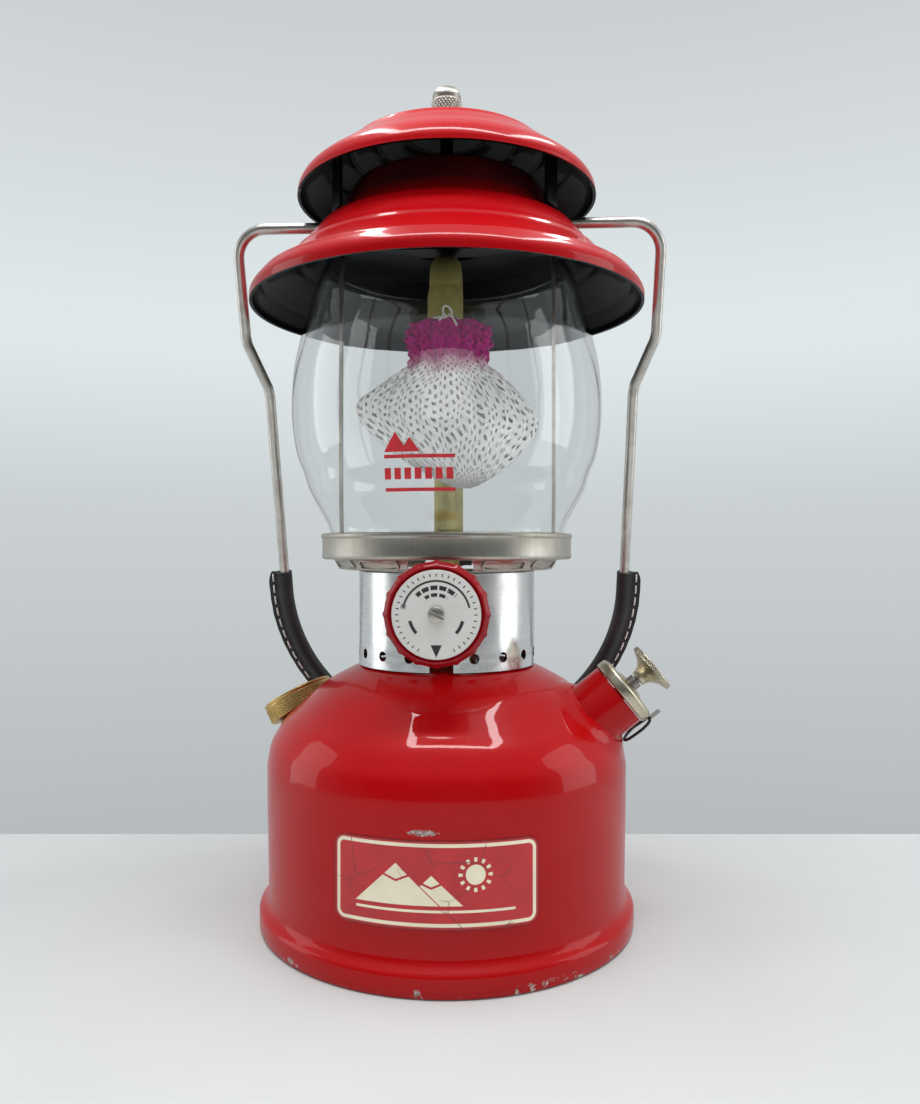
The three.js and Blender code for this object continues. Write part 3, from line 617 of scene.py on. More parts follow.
# ------------------------------------------------------------------ finishes
@dataclass(frozen=True)
class Enamel:
    """Baked enamel over steel, with marks of use and small chips."""

    name: str
    colour: Triple
    deep: Triple
    roughness: float = 0.3
    coat: float = 0.6
    scratches: float = 0.35
    chips: float = 0.12
    foot_wear: bool = False
    # painted_neck_shade: painted shade that darkens the ventilator neck under its cap
    painted_neck_shade: bool = False

    def make(self) -> Finish:
        """Return the enamel material."""
        c = Coat(self.name)
        p = c.where()
        marks = c.effect("handling", p, Scale=28.0, Smudge=0.5, Scratch=self.scratches)
        chips = c.effect("chips", p, Scale=150.0, Amount=self.chips)
        mask, rim = chips.outputs["Mask"], chips.outputs["Rim"]
        if self.foot_wear:
            x, y, z = c.split(p)
            edge = c.ramp(z, 0.0006, 0.0042, 1.0, 0.0)
            ragged = c.noise(p, 210.0, 5.0, 0.7)
            right = c.ramp(x, -0.03, 0.045, 0.455, 0.575)
            foot = c.mul(c.ramp(c.add(ragged, c.mul(right, 0.3)), 0.755, 0.775), c.ramp(edge, 0.15, 0.55))
            dx = c.math("DIVIDE", c.add(x, 0.0035), 0.0052)
            dz = c.math("DIVIDE", c.sub(z, 0.0494), 0.0011)
            away = c.add(c.mul(dx, dx), c.mul(dz, dz))
            near = c.mul(c.ramp(away, 0.6, 1.6, 0.42, 0.0), c.ramp(y, -0.06, -0.055, 1.0, 0.0))
            spot = c.ramp(c.add(c.noise(p, 700.0, 4.0, 0.7), near), 0.86, 0.9)
            mask = c.most(mask, c.most(foot, spot))
        lines = marks.outputs["Lines"]
        tone = c.mix(c.ramp(c.noise(p, 9.0, 3.0), 0.3, 0.7), self.colour, self.deep)
        # Painted shade: the neck band under the ventilator cap is darkened towards near black, standing in
        # for the cap's shadow on it.
        if self.painted_neck_shade:
            x, y, z = c.split(p)
            out = c.math("SQRT", c.add(c.mul(x, x), c.mul(y, y)))
            band = c.mul(c.ramp(z, 0.2535, 0.2605), c.ramp(z, 0.272, 0.274, 1.0, 0.0))
            near = c.mul(band, c.ramp(out, 0.0425, 0.0455, 1.0, 0.0))
            cloud = c.ramp(c.noise(p, 60.0, 4.0), 0.3, 0.7, 0.86, 0.96)
            tone = c.mix(c.mul(near, cloud), tone, (0.012, 0.004, 0.005))
        tone = c.mix(c.mul(lines, 0.55), tone, [min(1.0, v * 1.6 + 0.05) for v in self.colour])
        tone = c.mix(c.mul(rim, 0.35), tone, [v * 0.35 for v in self.deep])
        bare = c.mix(c.ramp(c.noise(p, 900.0, 3.0), 0.4, 0.6), (0.22, 0.19, 0.17), (0.5, 0.47, 0.44))
        c.set("Base Color", c.mix(mask, tone, bare))
        rough = c.add(self.roughness, c.mul(marks.outputs["Gloss"], 0.16))
        rough = c.add(rough, c.mul(lines, 0.2))
        c.set("Roughness", c.add(rough, c.mul(mask, 0.3), clamp=True))
        c.set("Coat Weight", c.mul(c.sub(1.0, mask), self.coat))
        c.set("Coat Roughness", 0.035)
        c.set("Specular IOR Level", 0.06)
        grain = c.effect("grain", p, Scale=900.0, Coarse=2.0)
        height = c.sub(grain.outputs["Height"], c.mul(mask, 3.0))
        c.bump(c.sub(height, c.mul(lines, 0.6)), 0.012, 0.5)
        return c.material


@dataclass(frozen=True)
class Metal:
    """Bare or plated metal with turning lines, clouding and specks."""

    name: str
    colour: Triple
    stain: Triple
    roughness: float = 0.2
    patches: float = 0.4
    specks: float = 0.2
    lines: Triple = (6.0, 6.0, 300.0)
    line_depth: float = 0.004
    cloud_scale: float = 70.0
    metal: float = 1.0

    def make(self) -> Finish:
        """Return the metal material."""
        c = Coat(self.name)
        p = c.where()
        age = c.effect("tarnish", p, Scale=self.cloud_scale, Patches=self.patches, Specks=self.specks)
        marks = c.effect("handling", p, Scale=45.0, Smudge=0.6, Scratch=0.5)
        drawn = c.noise(c.stretch(p, self.lines), 10.0, 4.0, 0.6)
        tone = c.mix(c.ramp(drawn, 0.3, 0.7), self.colour, [v * 0.88 for v in self.colour])
        tone = c.mix(age.outputs["Cloud"], tone, self.stain)
        tone = c.mix(age.outputs["Specks"], tone, [v * 0.3 for v in self.stain])
        c.set("Base Color", tone)
        rough = c.add(self.roughness, c.mul(marks.outputs["Gloss"], 0.12))
        rough = c.add(rough, c.mul(age.outputs["Cloud"], 0.22))
        rough = c.add(rough, c.mul(marks.outputs["Lines"], 0.25))
        c.set("Roughness", c.add(rough, c.mul(c.ramp(drawn, 0.3, 0.7), 0.06), clamp=True))
        c.set("Metallic", c.sub(self.metal, c.mul(age.outputs["Specks"], 0.6 * self.metal)))
        height = c.sub(drawn, c.mul(marks.outputs["Lines"], 0.8))
        c.bump(height, self.line_depth, 0.6)
        return c.material


@dataclass(frozen=True)
class ClearGlass:
    """Blown heat-resistant glass."""

    name: str = "globe_glass"
    tint: Triple = (0.975, 0.99, 0.985)

    def make(self) -> Finish:
        """Return the glass material."""
        c = Coat(self.name)
        p = c.where()
        marks = c.effect("handling", p, Scale=30.0, Smudge=0.5, Scratch=0.3)
        c.set("Base Color", self.tint)
        c.set("Transmission Weight", 1.0)
        c.set("IOR", 1.45)
        c.set("Metallic", 0.0)
        c.set("Roughness", c.add(0.0, c.mul(marks.outputs["Gloss"], 0.035)))
        wave = c.noise(c.stretch(p, (1.0, 1.0, 0.6)), 22.0, 2.0, 0.4)
        c.bump(wave, 0.25, 0.25)
        clear = c.node("ShaderNodeBsdfTransparent")
        clear.inputs[0].default_value = (0.94, 0.96, 0.955, 1.0)
        mixed = c.node("ShaderNodeMixShader")
        c.feed(mixed.inputs[0], c.node("ShaderNodeLightPath").outputs["Is Shadow Ray"])
        c.feed(mixed.inputs[1], c.shader.outputs[0])
        c.feed(mixed.inputs[2], clear.outputs[0])
        c.feed(c.tree.nodes["Material Output"].inputs["Surface"], mixed.outputs[0])
        return c.material


@dataclass(frozen=True)
class Paint:
    """Flat printed or moulded colour with a slight mottle."""

    name: str
    colour: Triple
    roughness: float = 0.5
    mottle: float = 0.85
    scale: float = 300.0
    depth: float = 0.01

    def make(self) -> Finish:
        """Return the paint material."""
        c = Coat(self.name)
        p = c.where()
        patch = c.noise(p, self.scale, 5.0, 0.6)
        c.set("Base Color", c.mix(c.ramp(patch, 0.35, 0.65), self.colour,
                                  [v * self.mottle for v in self.colour]))
        marks = c.effect("handling", p, Scale=60.0, Smudge=0.5, Scratch=0.4)
        c.set("Roughness", c.add(self.roughness, c.mul(marks.outputs["Gloss"], 0.15)))
        grain = c.effect("grain", p, Scale=self.scale * 4.0, Coarse=0.5)
        c.bump(grain.outputs["Height"], self.depth, 0.5)
        return c.material


@dataclass(frozen=True)
class Knit:
    """Open knitted bag cloth, dyed at its gathered top. UV runs once round and once down the bag."""

    name: str = "mantle_cloth"
    white: Triple = (0.93, 0.92, 0.90)
    dye: Triple = (0.40, 0.008, 0.17)
    columns: float = 50.0
    rows: float = 27.0

    def make(self) -> Finish:
        """Return the knit material."""
        c = Coat(self.name)
        u, v, _ = c.split(c.uv())
        p = c.where()
        drift = c.mul(c.sub(c.noise(p, 120.0, 2.0), 0.5), 1.6)
        cu = c.add(c.mul(u, self.columns), drift)
        cv = c.add(c.mul(v, self.rows), drift)
        fu = c.size(c.sub(c.math("FRACT", cu), 0.5))
        slant = c.add(cv, c.mul(fu, 1.1))
        fv = c.size(c.sub(c.math("FRACT", slant), 0.5))
        leg = c.ramp(c.size(c.sub(fu, 0.26)), 0.1, 0.24, 1.0, 0.0)
        row = c.ramp(fv, 0.2, 0.42, 1.0, 0.0)
        yarn = c.most(c.mul(leg, 0.85), row)
        fuzz = c.noise(p, 2600.0, 3.0, 0.7)
        top = c.ramp(v, 0.3, 0.44, 1.0, 0.0)
        cover = c.add(yarn, c.mul(c.sub(fuzz, 0.5), 0.5))
        cover = c.add(cover, c.mul(top, 0.35))
        c.set("Alpha", c.ramp(cover, 0.26, 0.52))
        stain = c.ramp(c.add(v, c.mul(c.sub(c.noise(p, 170.0, 4.0), 0.5), 0.16)), 0.29, 0.43, 1.0, 0.0)
        pale = c.mix(c.ramp(c.noise(p, 60.0, 3.0), 0.4, 0.7), self.white, (0.80, 0.79, 0.79))
        blush = c.mix(stain, pale, self.dye)
        # Painted shade: where the yarn thins between the strands the colour is darkened to grey, and to dark
        # purple in the dyed top, as shade in the open stitches.
        c.set("Base Color", c.mix(c.ramp(yarn, 0.15, 0.8, 0.75, 0.0), blush,
                                  c.mix(stain, (0.24, 0.23, 0.24), (0.05, 0.0, 0.015))))
        c.set("Roughness", c.add(0.85, c.mul(fuzz, 0.1)))
        c.set("Sheen Weight", 0.1)
        c.bump(c.add(yarn, c.mul(fuzz, 0.3)), 0.35, 0.9)
        return c.material


@dataclass(frozen=True)
class Hide:
    """Black coated leather with a fine pebbled grain, rubbed at its high places."""

    name: str = "grip_hide"
    colour: Triple = (0.012, 0.012, 0.013)
    rubbed: Triple = (0.04, 0.04, 0.042)

    def make(self) -> Finish:
        """Return the leather material."""
        c = Coat(self.name)
        p = c.where()
        cell = c.node("ShaderNodeTexVoronoi", feature="DISTANCE_TO_EDGE")
        c.feed(cell.inputs["Vector"], p)
        cell.inputs["Scale"].default_value = 1400.0
        pebble = c.ramp(cell.outputs["Distance"], 0.0, 0.22)
        worn = c.ramp(c.noise(p, 80.0, 4.0), 0.5, 0.7)
        grain = c.effect("grain", p, Scale=1500.0, Coarse=1.0)
        marks = c.effect("handling", p, Scale=60.0, Smudge=0.6, Scratch=0.5)
        c.set("Base Color", c.mix(c.mul(worn, pebble), self.colour, self.rubbed))
        c.set("Roughness", c.add(0.5, c.mul(marks.outputs["Gloss"], 0.2)))
        c.bump(c.add(pebble, c.mul(grain.outputs["Height"], 0.3)), 0.06, 0.8)
        return c.material


@dataclass(frozen=True)
class Badge:
    """Plain outdoor badge: cream frame, red field, two peaks under a sun, and ruled lines."""

    name: str = "tank_badge"
    red: Triple = (0.52, 0.012, 0.018)
    cream: Triple = (0.87, 0.8, 0.6)
    wide: float = 65.9
    high: float = 27.0

    def make(self) -> Finish:
        """Return the badge material. UV is in shares of the badge's width and height."""
        c = Coat(self.name)
        u, v, _ = c.split(c.uv())
        x = c.mul(c.sub(u, 0.5), self.wide)
        y = c.mul(c.sub(v, 0.5), self.high)

        def frame_band(outer: float, inner: float, round_off: float) -> Socket:
            """Mask between two insets from the badge's edge."""
            qx = c.most(c.sub(c.size(x), self.wide / 2 - round_off), 0.0)
            qy = c.most(c.sub(c.size(y), self.high / 2 - round_off), 0.0)
            corner = c.math("SQRT", c.add(c.mul(qx, qx), c.mul(qy, qy)))
            side = c.least(c.most(c.sub(c.size(x), self.wide / 2 - round_off),
                                  c.sub(c.size(y), self.high / 2 - round_off)), 0.0)
            inset = c.sub(round_off, c.add(corner, side))
            return c.mul(c.ramp(inset, outer - 0.06, outer + 0.06),
                         c.ramp(inset, inner - 0.06, inner + 0.06, 1.0, 0.0))

        def peak(at: float, foot: float, height: float, slope: float) -> Socket:
            """Mask of a triangular peak."""
            fall = c.mul(c.size(c.sub(x, at)), slope)
            line = c.sub(foot + height, fall)
            over = c.sub(line, y)
            return c.mul(c.ramp(over, -0.05, 0.08), c.ramp(y, foot - 0.08, foot + 0.05))

        def snow_cut(at: float, foot: float, height: float, slope: float) -> Socket:
            """The peak's red line that parts its cap from its body."""
            fall = c.mul(c.size(c.sub(x, at)), slope)
            line = c.sub(foot + height * 0.58, c.mul(fall, -0.45))
            return c.ramp(c.size(c.sub(y, line)), 0.3, 0.45, 1.0, 0.0)

        art = frame_band(0.9, 2.0, 3.6)
        first = peak(-12.0, -6.2, 12.6, 0.95)
        second = peak(-1.0, -6.2, 9.2, 0.95)
        gap = c.ramp(c.size(c.sub(y, c.sub(6.4, c.mul(c.add(x, 12.0), 0.95)))), 0.35, 0.5, 0.0, 1.0)
        first = c.mul(first, c.sub(1.0, snow_cut(-12.0, -6.2, 12.6, 0.95)))
        second = c.mul(c.mul(second, gap), c.sub(1.0, snow_cut(-1.0, -6.2, 9.2, 0.95)))
        dx, dy = c.sub(x, 12.5), c.sub(y, 3.2)
        away = c.math("SQRT", c.add(c.mul(dx, dx), c.mul(dy, dy)))
        sun = c.ramp(away, 3.0, 3.12, 1.0, 0.0)
        angle = c.math("ARCTAN2", dy, dx)
        ray = c.ramp(c.math("COSINE", c.mul(angle, 12.0)), 0.2, 0.4)
        halo = c.mul(c.ramp(away, 3.9, 4.0), c.ramp(away, 5.2, 5.3, 1.0, 0.0))
        ground = c.mul(c.ramp(c.size(c.add(y, 7.9)), 0.35, 0.45, 1.0, 0.0),
                       c.ramp(c.size(x), 25.0, 25.15, 1.0, 0.0))
        for mask in (first, second, sun, c.mul(ray, halo), ground):
            art = c.most(art, mask)
        p = c.where()
        crack = c.node("ShaderNodeTexVoronoi", feature="DISTANCE_TO_EDGE")
        c.feed(crack.inputs["Vector"], p)
        crack.inputs["Scale"].default_value = 62.0
        thin = c.mul(c.ramp(crack.outputs["Distance"], 0.004, 0.012, 1.0, 0.0),
                     c.ramp(c.noise(p, 45.0, 2.0), 0.5, 0.56))
        paper = c.mix(c.ramp(c.noise(p, 90.0, 4.0), 0.35, 0.75), self.cream, [v * 0.86 for v in self.cream])
        field_red = c.mix(c.ramp(c.noise(p, 120.0, 4.0), 0.3, 0.7), self.red, [v * 0.8 for v in self.red])
        tone = c.mix(art, field_red, paper)
        outer = frame_band(-1.0, 0.35, 3.6)
        tone = c.mix(outer, tone, (0.16, 0.005, 0.008))
        c.set("Base Color", c.mix(c.mul(thin, 0.75), tone, (0.12, 0.02, 0.02)))
        c.set("Roughness", c.add(0.3, c.mul(c.noise(p, 200.0, 3.0), 0.15)))
        c.set("Coat Weight", 0.35)
        c.set("Coat Roughness", 0.12)
        c.bump(c.sub(c.mul(art, 0.4), thin), 0.03, 0.6)
        return c.material


@dataclass(frozen=True)
class Dial:
    """Round face plate: pale print ground, black pointer, turning arrow, ticks and ruled arcs."""

    name: str = "dial_face"
    ground: Triple = (0.70, 0.69, 0.665)
    ink: Triple = (0.02, 0.02, 0.022)

    def make(self) -> Finish:
        """Return the dial material. UV is the plate seen from the front, radius 1 at its rim."""
        c = Coat(self.name)
        u, v, _ = c.split(c.uv())
        r = c.math("SQRT", c.add(c.mul(u, u), c.mul(v, v)))
        a = c.math("ARCTAN2", v, u)

        def band(low: float, high: float) -> Socket:
            """Ring mask between two radii."""
            return c.mul(c.ramp(r, low - 0.008, low + 0.008),
                         c.ramp(r, high - 0.008, high + 0.008, 1.0, 0.0))

        def sector(middle: float, half: float) -> Socket:
            """Mask of an angle range in degrees."""
            turn = c.sub(a, math.radians(middle))
            return c.ramp(c.math("COSINE", turn), math.cos(math.radians(half)) - 0.004,
                          math.cos(math.radians(half)) + 0.004)

        side = c.mul(c.size(u), 2.23)
        pointer = c.mul(c.ramp(c.sub(c.add(v, 0.95), side), -0.01, 0.015),
                        c.ramp(v, -0.675, -0.66, 1.0, 0.0))
        ink = pointer
        tick = c.ramp(c.math("COSINE", c.mul(a, 40.0)), 0.75, 0.9)
        arcs = [c.mul(c.mul(tick, band(0.84, 0.91)), c.sub(1.0, sector(-90.0, 26.0))),
                c.mul(band(0.725, 0.772), sector(90.0, 78.0)), c.mul(band(0.55, 0.65), sector(90.0, 46.0)),
                c.mul(band(0.4, 0.48), sector(90.0, 34.0)), c.mul(band(0.56, 0.635), sector(-28.0, 15.0)),
                c.mul(band(0.56, 0.635), sector(-152.0, 15.0)),]
        gaps = c.ramp(c.math("COSINE", c.mul(a, 19.0)), -0.86, -0.78)
        arcs[2] = c.mul(arcs[2], gaps)
        arcs[3] = c.mul(arcs[3], c.ramp(c.math("COSINE", c.mul(a, 15.0)), -0.8, -0.7))
        tip = c.mul(band(0.69, 0.81), sector(166.0, 3.0))
        for mask in (*arcs, tip):
            ink = c.most(ink, mask)
        p = c.where()
        rubbed = c.ramp(c.noise(p, 1100.0, 4.0, 0.7), 0.68, 0.72, 1.0, 0.2)
        ink = c.mul(ink, rubbed)
        age = c.effect("tarnish", p, Scale=140.0, Patches=0.35, Specks=0.5)
        ground = c.mix(age.outputs["Cloud"], self.ground, (0.6, 0.57, 0.5))
        ground = c.mix(age.outputs["Specks"], ground, (0.12, 0.1, 0.08))
        c.set("Base Color", c.mix(ink, ground, self.ink))
        c.set("Metallic", c.mul(c.sub(1.0, ink), 0.25))
        c.set("Roughness", c.add(0.36, c.mul(age.outputs["Cloud"], 0.2)))
        c.bump(ink, 0.015, 0.4)
        return c.material


class Finishes:
    """Every material, made once and kept by name."""

    def __init__(self) -> None:
        """Build the finishes."""
        self.red = Enamel("red_gloss", (0.43, 0.0015, 0.003), (0.36, 0.001, 0.002), 0.3, 0.42,
                          foot_wear=True).make()
        # tier_red carries painted shade on the neck band under the cap.
        self.tier_red = Enamel("tier_red", (0.40, 0.0015, 0.004), (0.31, 0.001, 0.003), 0.28, 0.42, 0.3, 0.1,
                               painted_neck_shade=True).make()
        self.black = Enamel("black_heatproof", (0.004, 0.004, 0.0052), (0.003, 0.003, 0.0035), 0.36, 0.1, 0.3,
                            0.14).make()
        self.knob_red = Enamel("knob_red", (0.27, 0.003, 0.007), (0.18, 0.002, 0.005), 0.32, 0.5, 0.5,
                               0.3).make()
        self.chrome = Metal("bright_plate", (0.80, 0.81, 0.81), (0.52, 0.49, 0.45), 0.16, 0.45, 0.2,
                            (1.0, 1.0, 90.0), 0.008, 45.0).make()
        self.rest = Metal("satin_plate", (0.52, 0.50, 0.45), (0.30, 0.26, 0.19), 0.3, 0.5, 0.4,
                          (120.0, 120.0, 2.0), 0.014, 60.0).make()
        self.aged = Metal("aged_plate", (0.44, 0.42, 0.38), (0.22, 0.19, 0.15), 0.32, 0.5, 0.4,
                          (2.0, 2.0, 120.0), 0.006, 160.0).make()
        self.warm = Metal("brassy_plate", (0.66, 0.61, 0.47), (0.34, 0.27, 0.15), 0.25, 0.55, 0.35,
                          (2.0, 2.0, 120.0), 0.006, 130.0).make()
        self.nickel = Metal("worn_plate", (0.66, 0.64, 0.59), (0.36, 0.30, 0.22), 0.24, 0.55, 0.4,
                            (2.0, 2.0, 120.0), 0.006, 110.0).make()
        self.wire = Metal("drawn_wire", (0.62, 0.60, 0.56), (0.30, 0.26, 0.21), 0.26, 0.45, 0.45,
                          (60.0, 60.0, 6.0), 0.006, 160.0).make()
        self.steel = Metal("dull_steel", (0.40, 0.38, 0.35), (0.20, 0.16, 0.12), 0.34, 0.5, 0.4,
                           (80.0, 80.0, 6.0), 0.006).make()
        self.brass = Metal("aged_brass", (0.66, 0.45, 0.16), (0.32, 0.20, 0.08), 0.26, 0.6, 0.35,
                           (4.0, 4.0, 200.0), 0.005, 130.0).make()
        self.burner = Metal("heated_brass", (0.46, 0.40, 0.13), (0.27, 0.23, 0.09), 0.48, 0.7, 0.5,
                            (30.0, 30.0, 8.0), 0.008, 90.0, 0.3).make()
        self.dark_wire = Metal("oiled_wire", (0.07, 0.07, 0.075), (0.03, 0.03, 0.03), 0.35, 0.5, 0.3).make()
        self.glass = ClearGlass().make()
        self.knit = Knit().make()
        self.hide = Hide().make()
        self.badge = Badge().make()
        self.dial = Dial().make()
        self.print_red = Paint("glass_print", (0.62, 0.02, 0.03), 0.55, 0.8, 500.0, 0.004).make()
        self.thread = Paint("pale_thread", (0.83, 0.81, 0.76), 0.8, 0.8, 1500.0, 0.05).make()
        self.cotton = Paint("cotton_cord", (0.74, 0.70, 0.64), 0.9, 0.8, 1200.0, 0.08).make()
        self.clay = Paint("burner_clay", (0.62, 0.57, 0.48), 0.85, 0.8, 350.0, 0.05).make()
        self.rubber = Paint("black_rubber", (0.02, 0.02, 0.02), 0.7, 0.7, 500.0, 0.02).make()
        self.cup_hide = Paint("cup_hide", (0.22, 0.11, 0.05), 0.6, 0.7, 250.0, 0.04).make()
        self.mark = Paint("black_mark", (0.02, 0.02, 0.02), 0.5, 0.8, 300.0, 0.01).make()


# ------------------------------------------------------------------ shared shapes
def dense(profile: Profile, steps: int) -> Outline:
    """Smooth run of outline points through the given ones."""
    return [(p.x, p.y) for p in catmull([(r, z, 0.0) for r, z in profile], steps)]


def shell(outer: Profile, wall: float) -> Outline:
    """Closed outline of a sheet whose outside is given from rim to crown.

    Args:
        outer: outside points.
        wall: sheet thickness, taken inwards.

    Returns:
        Outside, then inside back to the start.
    """
    inner = []
    for i, (r, z) in enumerate(outer):
        a, b = Vector(outer[max(i - 1, 0)]), Vector(outer[min(i + 1, len(outer) - 1)])
        way = (b - a).normalized()
        inner.append((max(r - way.y * wall, 0.0), z + way.x * wall))
    return [*outer, *reversed(inner), outer[0]]


def paint_inside(obj: Piece, outside: Finish, inside: Finish,
                 centre: Vector) -> None:
    """Give faces that look towards a centre the inside material, centre in millimetres."""
    obj.data.materials.clear()
    obj.data.materials.append(outside)
    obj.data.materials.append(inside)
    for face in obj.data.polygons:
        face.material_index = 1 if face.normal.dot(centre * MM - face.center) > 0 else 0


def knurl(obj: Piece, low: float, high: float, radius: float, count: int, pitch: float,
          depth: float) -> Piece:
    """Press crossed diamond grooves into an upright round piece.

    Args:
        obj: the turned piece.
        low: bottom of the knurled band.
        high: top of the band.
        radius: points beyond this radius are worked.
        count: diamonds round the piece.
        pitch: height of one diamond.
        depth: groove depth.

    Returns:
        The same piece.
    """
    def press(p: Vector) -> Vector:
        """Lower a point by the groove there."""
        r = math.hypot(p.x, p.y)
        if r < radius or not low <= p.z <= high:
            return p
        turn = count * math.atan2(p.y, p.x) / 2
        rise = math.pi * (p.z - low) / pitch
        groove = max(0.0, 1 - 2.4 * min(abs(math.sin(turn + rise)), abs(math.sin(turn - rise))))
        fade = min(1.0, (p.z - low) / 0.35, (high - p.z) / 0.35)
        k = (r - depth * groove * fade) / r
        return Vector((p.x * k, p.y * k, p.z))

    return reshape(obj, press)


def ribbon_rows(name: str, rows: Sequence[Sequence[Vector]], uv: bool = False) -> Piece:
    """Sheet from a grid primitive whose points are laid on the given rows, in millimetres.

    Args:
        name: name of the piece.
        rows: equal rows of points.
        uv: whether to lay a UV map in shares along and across.

    Returns:
        The open mesh.
    """
    deselect()
    across, down = len(rows[0]), len(rows)
    bpy.ops.mesh.primitive_grid_add(x_subdivisions=across - 1, y_subdivisions=down - 1, size=2)
    obj = bpy.context.object
    obj.name = name
    layer = obj.data.uv_layers.active or obj.data.uv_layers.new(name="UVMap")
    spots = [(round((v.co.x + 1) / 2 * (across - 1)), round((v.co.y + 1) / 2 * (down - 1)))
             for v in obj.data.vertices]
    if uv:
        for loop in obj.data.loops:
            i, j = spots[loop.vertex_index]
            layer.data[loop.index].uv = (i / (across - 1), j / (down - 1))
    for vertex, (i, j) in zip(obj.data.vertices, spots):
        vertex.co = rows[j][i] * MM
    obj.data.update()
    return obj


def smoothstep(t: float) -> float:
    """Ease from 0 to 1."""
    t = min(1.0, max(0.0, t))
    return t * t * (3 - 2 * t)


# ------------------------------------------------------------------ placings
@dataclass(frozen=True)
class Seat:
    """A place and direction on the tank that pieces are built upright for."""

    place: Triple
    tilt: float
    turn: float

    def matrix(self) -> Matrix:
        """Matrix in metres that carries an upright piece to the seat."""
        turn = Matrix.Rotation(math.radians(self.turn), 4, "Z")
        tilt = Matrix.Rotation(math.radians(self.tilt), 4, "Y")
        return Matrix.Translation(Vector(self.place) * MM) @ turn @ tilt

    def axis(self) -> Vector:
        """Outward direction."""
        return (self.matrix().to_3x3() @ Vector((0, 0, 1))).normalized()

    def put(self, obj: Piece) -> Piece:
        """Carry a piece built upright to the seat."""
        obj.data.transform(self.matrix())
        return obj


FILLER = Seat((-58.051, 21.129, 71.1), 30.0, 160.0)
PUMP = Seat((54.978, -15.0, 78.5), 51.0, 0.0)


def to_valve(obj: Piece, height: float = 115.1) -> Piece:
    """Carry a piece built upright to the valve axis, its top to the front."""
    obj.data.transform(Matrix.Translation((0, 0, height * MM)) @ Matrix.Rotation(math.radians(90), 4, "X"))
    return obj


# ------------------------------------------------------------------ tank
@dataclass
class Tank:
    """Fuel tank: pressed shell, foot flange, recessed bottom and front badge."""

    looks: Finishes
    side: float = 66.0
    shoulder: float = 58.0
    rise: float = 35.1
    around: int = 192
    badge_low: float = 20.2
    badge_high: float = 47.2
    badge_half_angle: float = 28.6
    foot: Profile = ((66.3, 3.2), (66.6, 1.2), (67.1, 0.35), (67.8, 0.0), (68.3, 0.2), (68.65, 0.9),
                     (68.75, 3.0), (68.75, 6.2), (68.5, 7.2), (67.8, 7.9), (66.8, 8.6), (66.0, 9.6),
                     (65.6, 11.0), (65.5, 14.0))
    dome: Profile = ((1, 0), (0.983, 0.18), (0.955, 0.29), (0.909, 0.42), (0.852, 0.52), (0.795, 0.62),
                     (0.739, 0.72), (0.682, 0.805), (0.624, 0.87), (0.568, 0.925), (0.512, 0.975),
                     (0.47, 1))

    def outline(self) -> Outline:
        """Outside from the foot to the middle hole, then inside back down.

        Returns:
            Points in millimetres.
        """
        wall = [(65.5 + 0.5 * smoothstep((z - 14) / 36), float(z)) for z in range(18, 56, 4)]
        curve = [(r * self.side, self.shoulder + t * self.rise) for r, t in self.dome]
        dome = dense(curve, 4)
        crown = [(28.0, 93.2), (20.0, 93.3), (12.0, 93.3), (7.4, 93.3), (7.0, 92.9), (7.0, 90.2)]
        inside = [(30.0, 90.6), (46.0, 83.0), (58.0, 71.0), (63.4, 58.0), (63.6, 20.0), (64.4, 4.6),
                  self.foot[0]]
        return [*self.foot, *wall, *dome, *crown, *inside]

    def stamp(self, p: Vector) -> Vector:
        """Press the filler's flat pad and raise a fillet round the pump.

        Args:
            p: point in millimetres.

        Returns:
            The moved point.
        """
        rel = p - Vector(FILLER.place)
        up = rel.dot(FILLER.axis())
        off = (rel - FILLER.axis() * up).length
        if up > 0 and off < 18.6:
            p = p - FILLER.axis() * up * (1 - smoothstep((off - 15.4) / 3.2))
        rel = p - Vector(PUMP.place)
        along = rel.dot(PUMP.axis())
        off = (rel - PUMP.axis() * along).length
        if -14 < along < 12 and off < 17.5:
            p = p + PUMP.axis() * 2.2 * smoothstep((17.5 - off) / 5.5)
        return p

    def build(self) -> None:
        """Make and dress the tank pieces."""
        body = turned("tank_shell", self.outline(), self.around)
        reshape(body, self.stamp)
        deliver(smooth(body, 50), Body.BASE, Slot.RED, self.looks.red, "fount_shell")
        pan = turned("tank_bottom", rounded(((0, 1.5), (50, 1.5), (54, 3.2), (65.9, 3.3), (65.9, 4.5),
                                             (53.5, 4.4), (49.5, 2.7), (0, 2.7)), 1.2), 96)
        deliver(smooth(pan), Body.BASE, Slot.RED, self.looks.red, "fount_bottom")
        self.badge()

    def badge(self) -> None:
        """Curved badge plate on the front, its corners cut round."""
        wide, high = 64, 26
        radius = self.side + 0.12
        rows = []
        for j in range(high + 1):
            z = self.badge_low + (self.badge_high - self.badge_low) * j / high
            edge = min(z - self.badge_low, self.badge_high - z)
            cut_back = 3.6 - math.sqrt(max(0.0, 3.6 ** 2 - max(0.0, 3.6 - edge) ** 2))
            half = math.radians(self.badge_half_angle) - cut_back / radius
            rows.append([Vector((radius * math.sin(half * (2 * i / wide - 1)),
                                 -radius * math.cos(half * (2 * i / wide - 1)), z)) for i in range(wide + 1)])
        plate = ribbon_rows("tank_badge", rows)
        layer = plate.data.uv_layers.active
        span = 2 * math.radians(self.badge_half_angle)
        for loop in plate.data.loops:
            p = plate.data.vertices[loop.vertex_index].co / MM
            angle = math.atan2(p.x, -p.y)
            layer.data[loop.index].uv = (0.5 + angle / span,
                                         (p.z - self.badge_low) / (self.badge_high - self.badge_low))
        apply_modifier(plate, "SOLIDIFY", thickness=0.12 * MM,
                       offset=1.0 if plate.data.polygons[0].normal.y < 0 else -1.0)
        deliver(smooth(plate, 60), Body.BASE, Slot.RED, self.looks.badge)


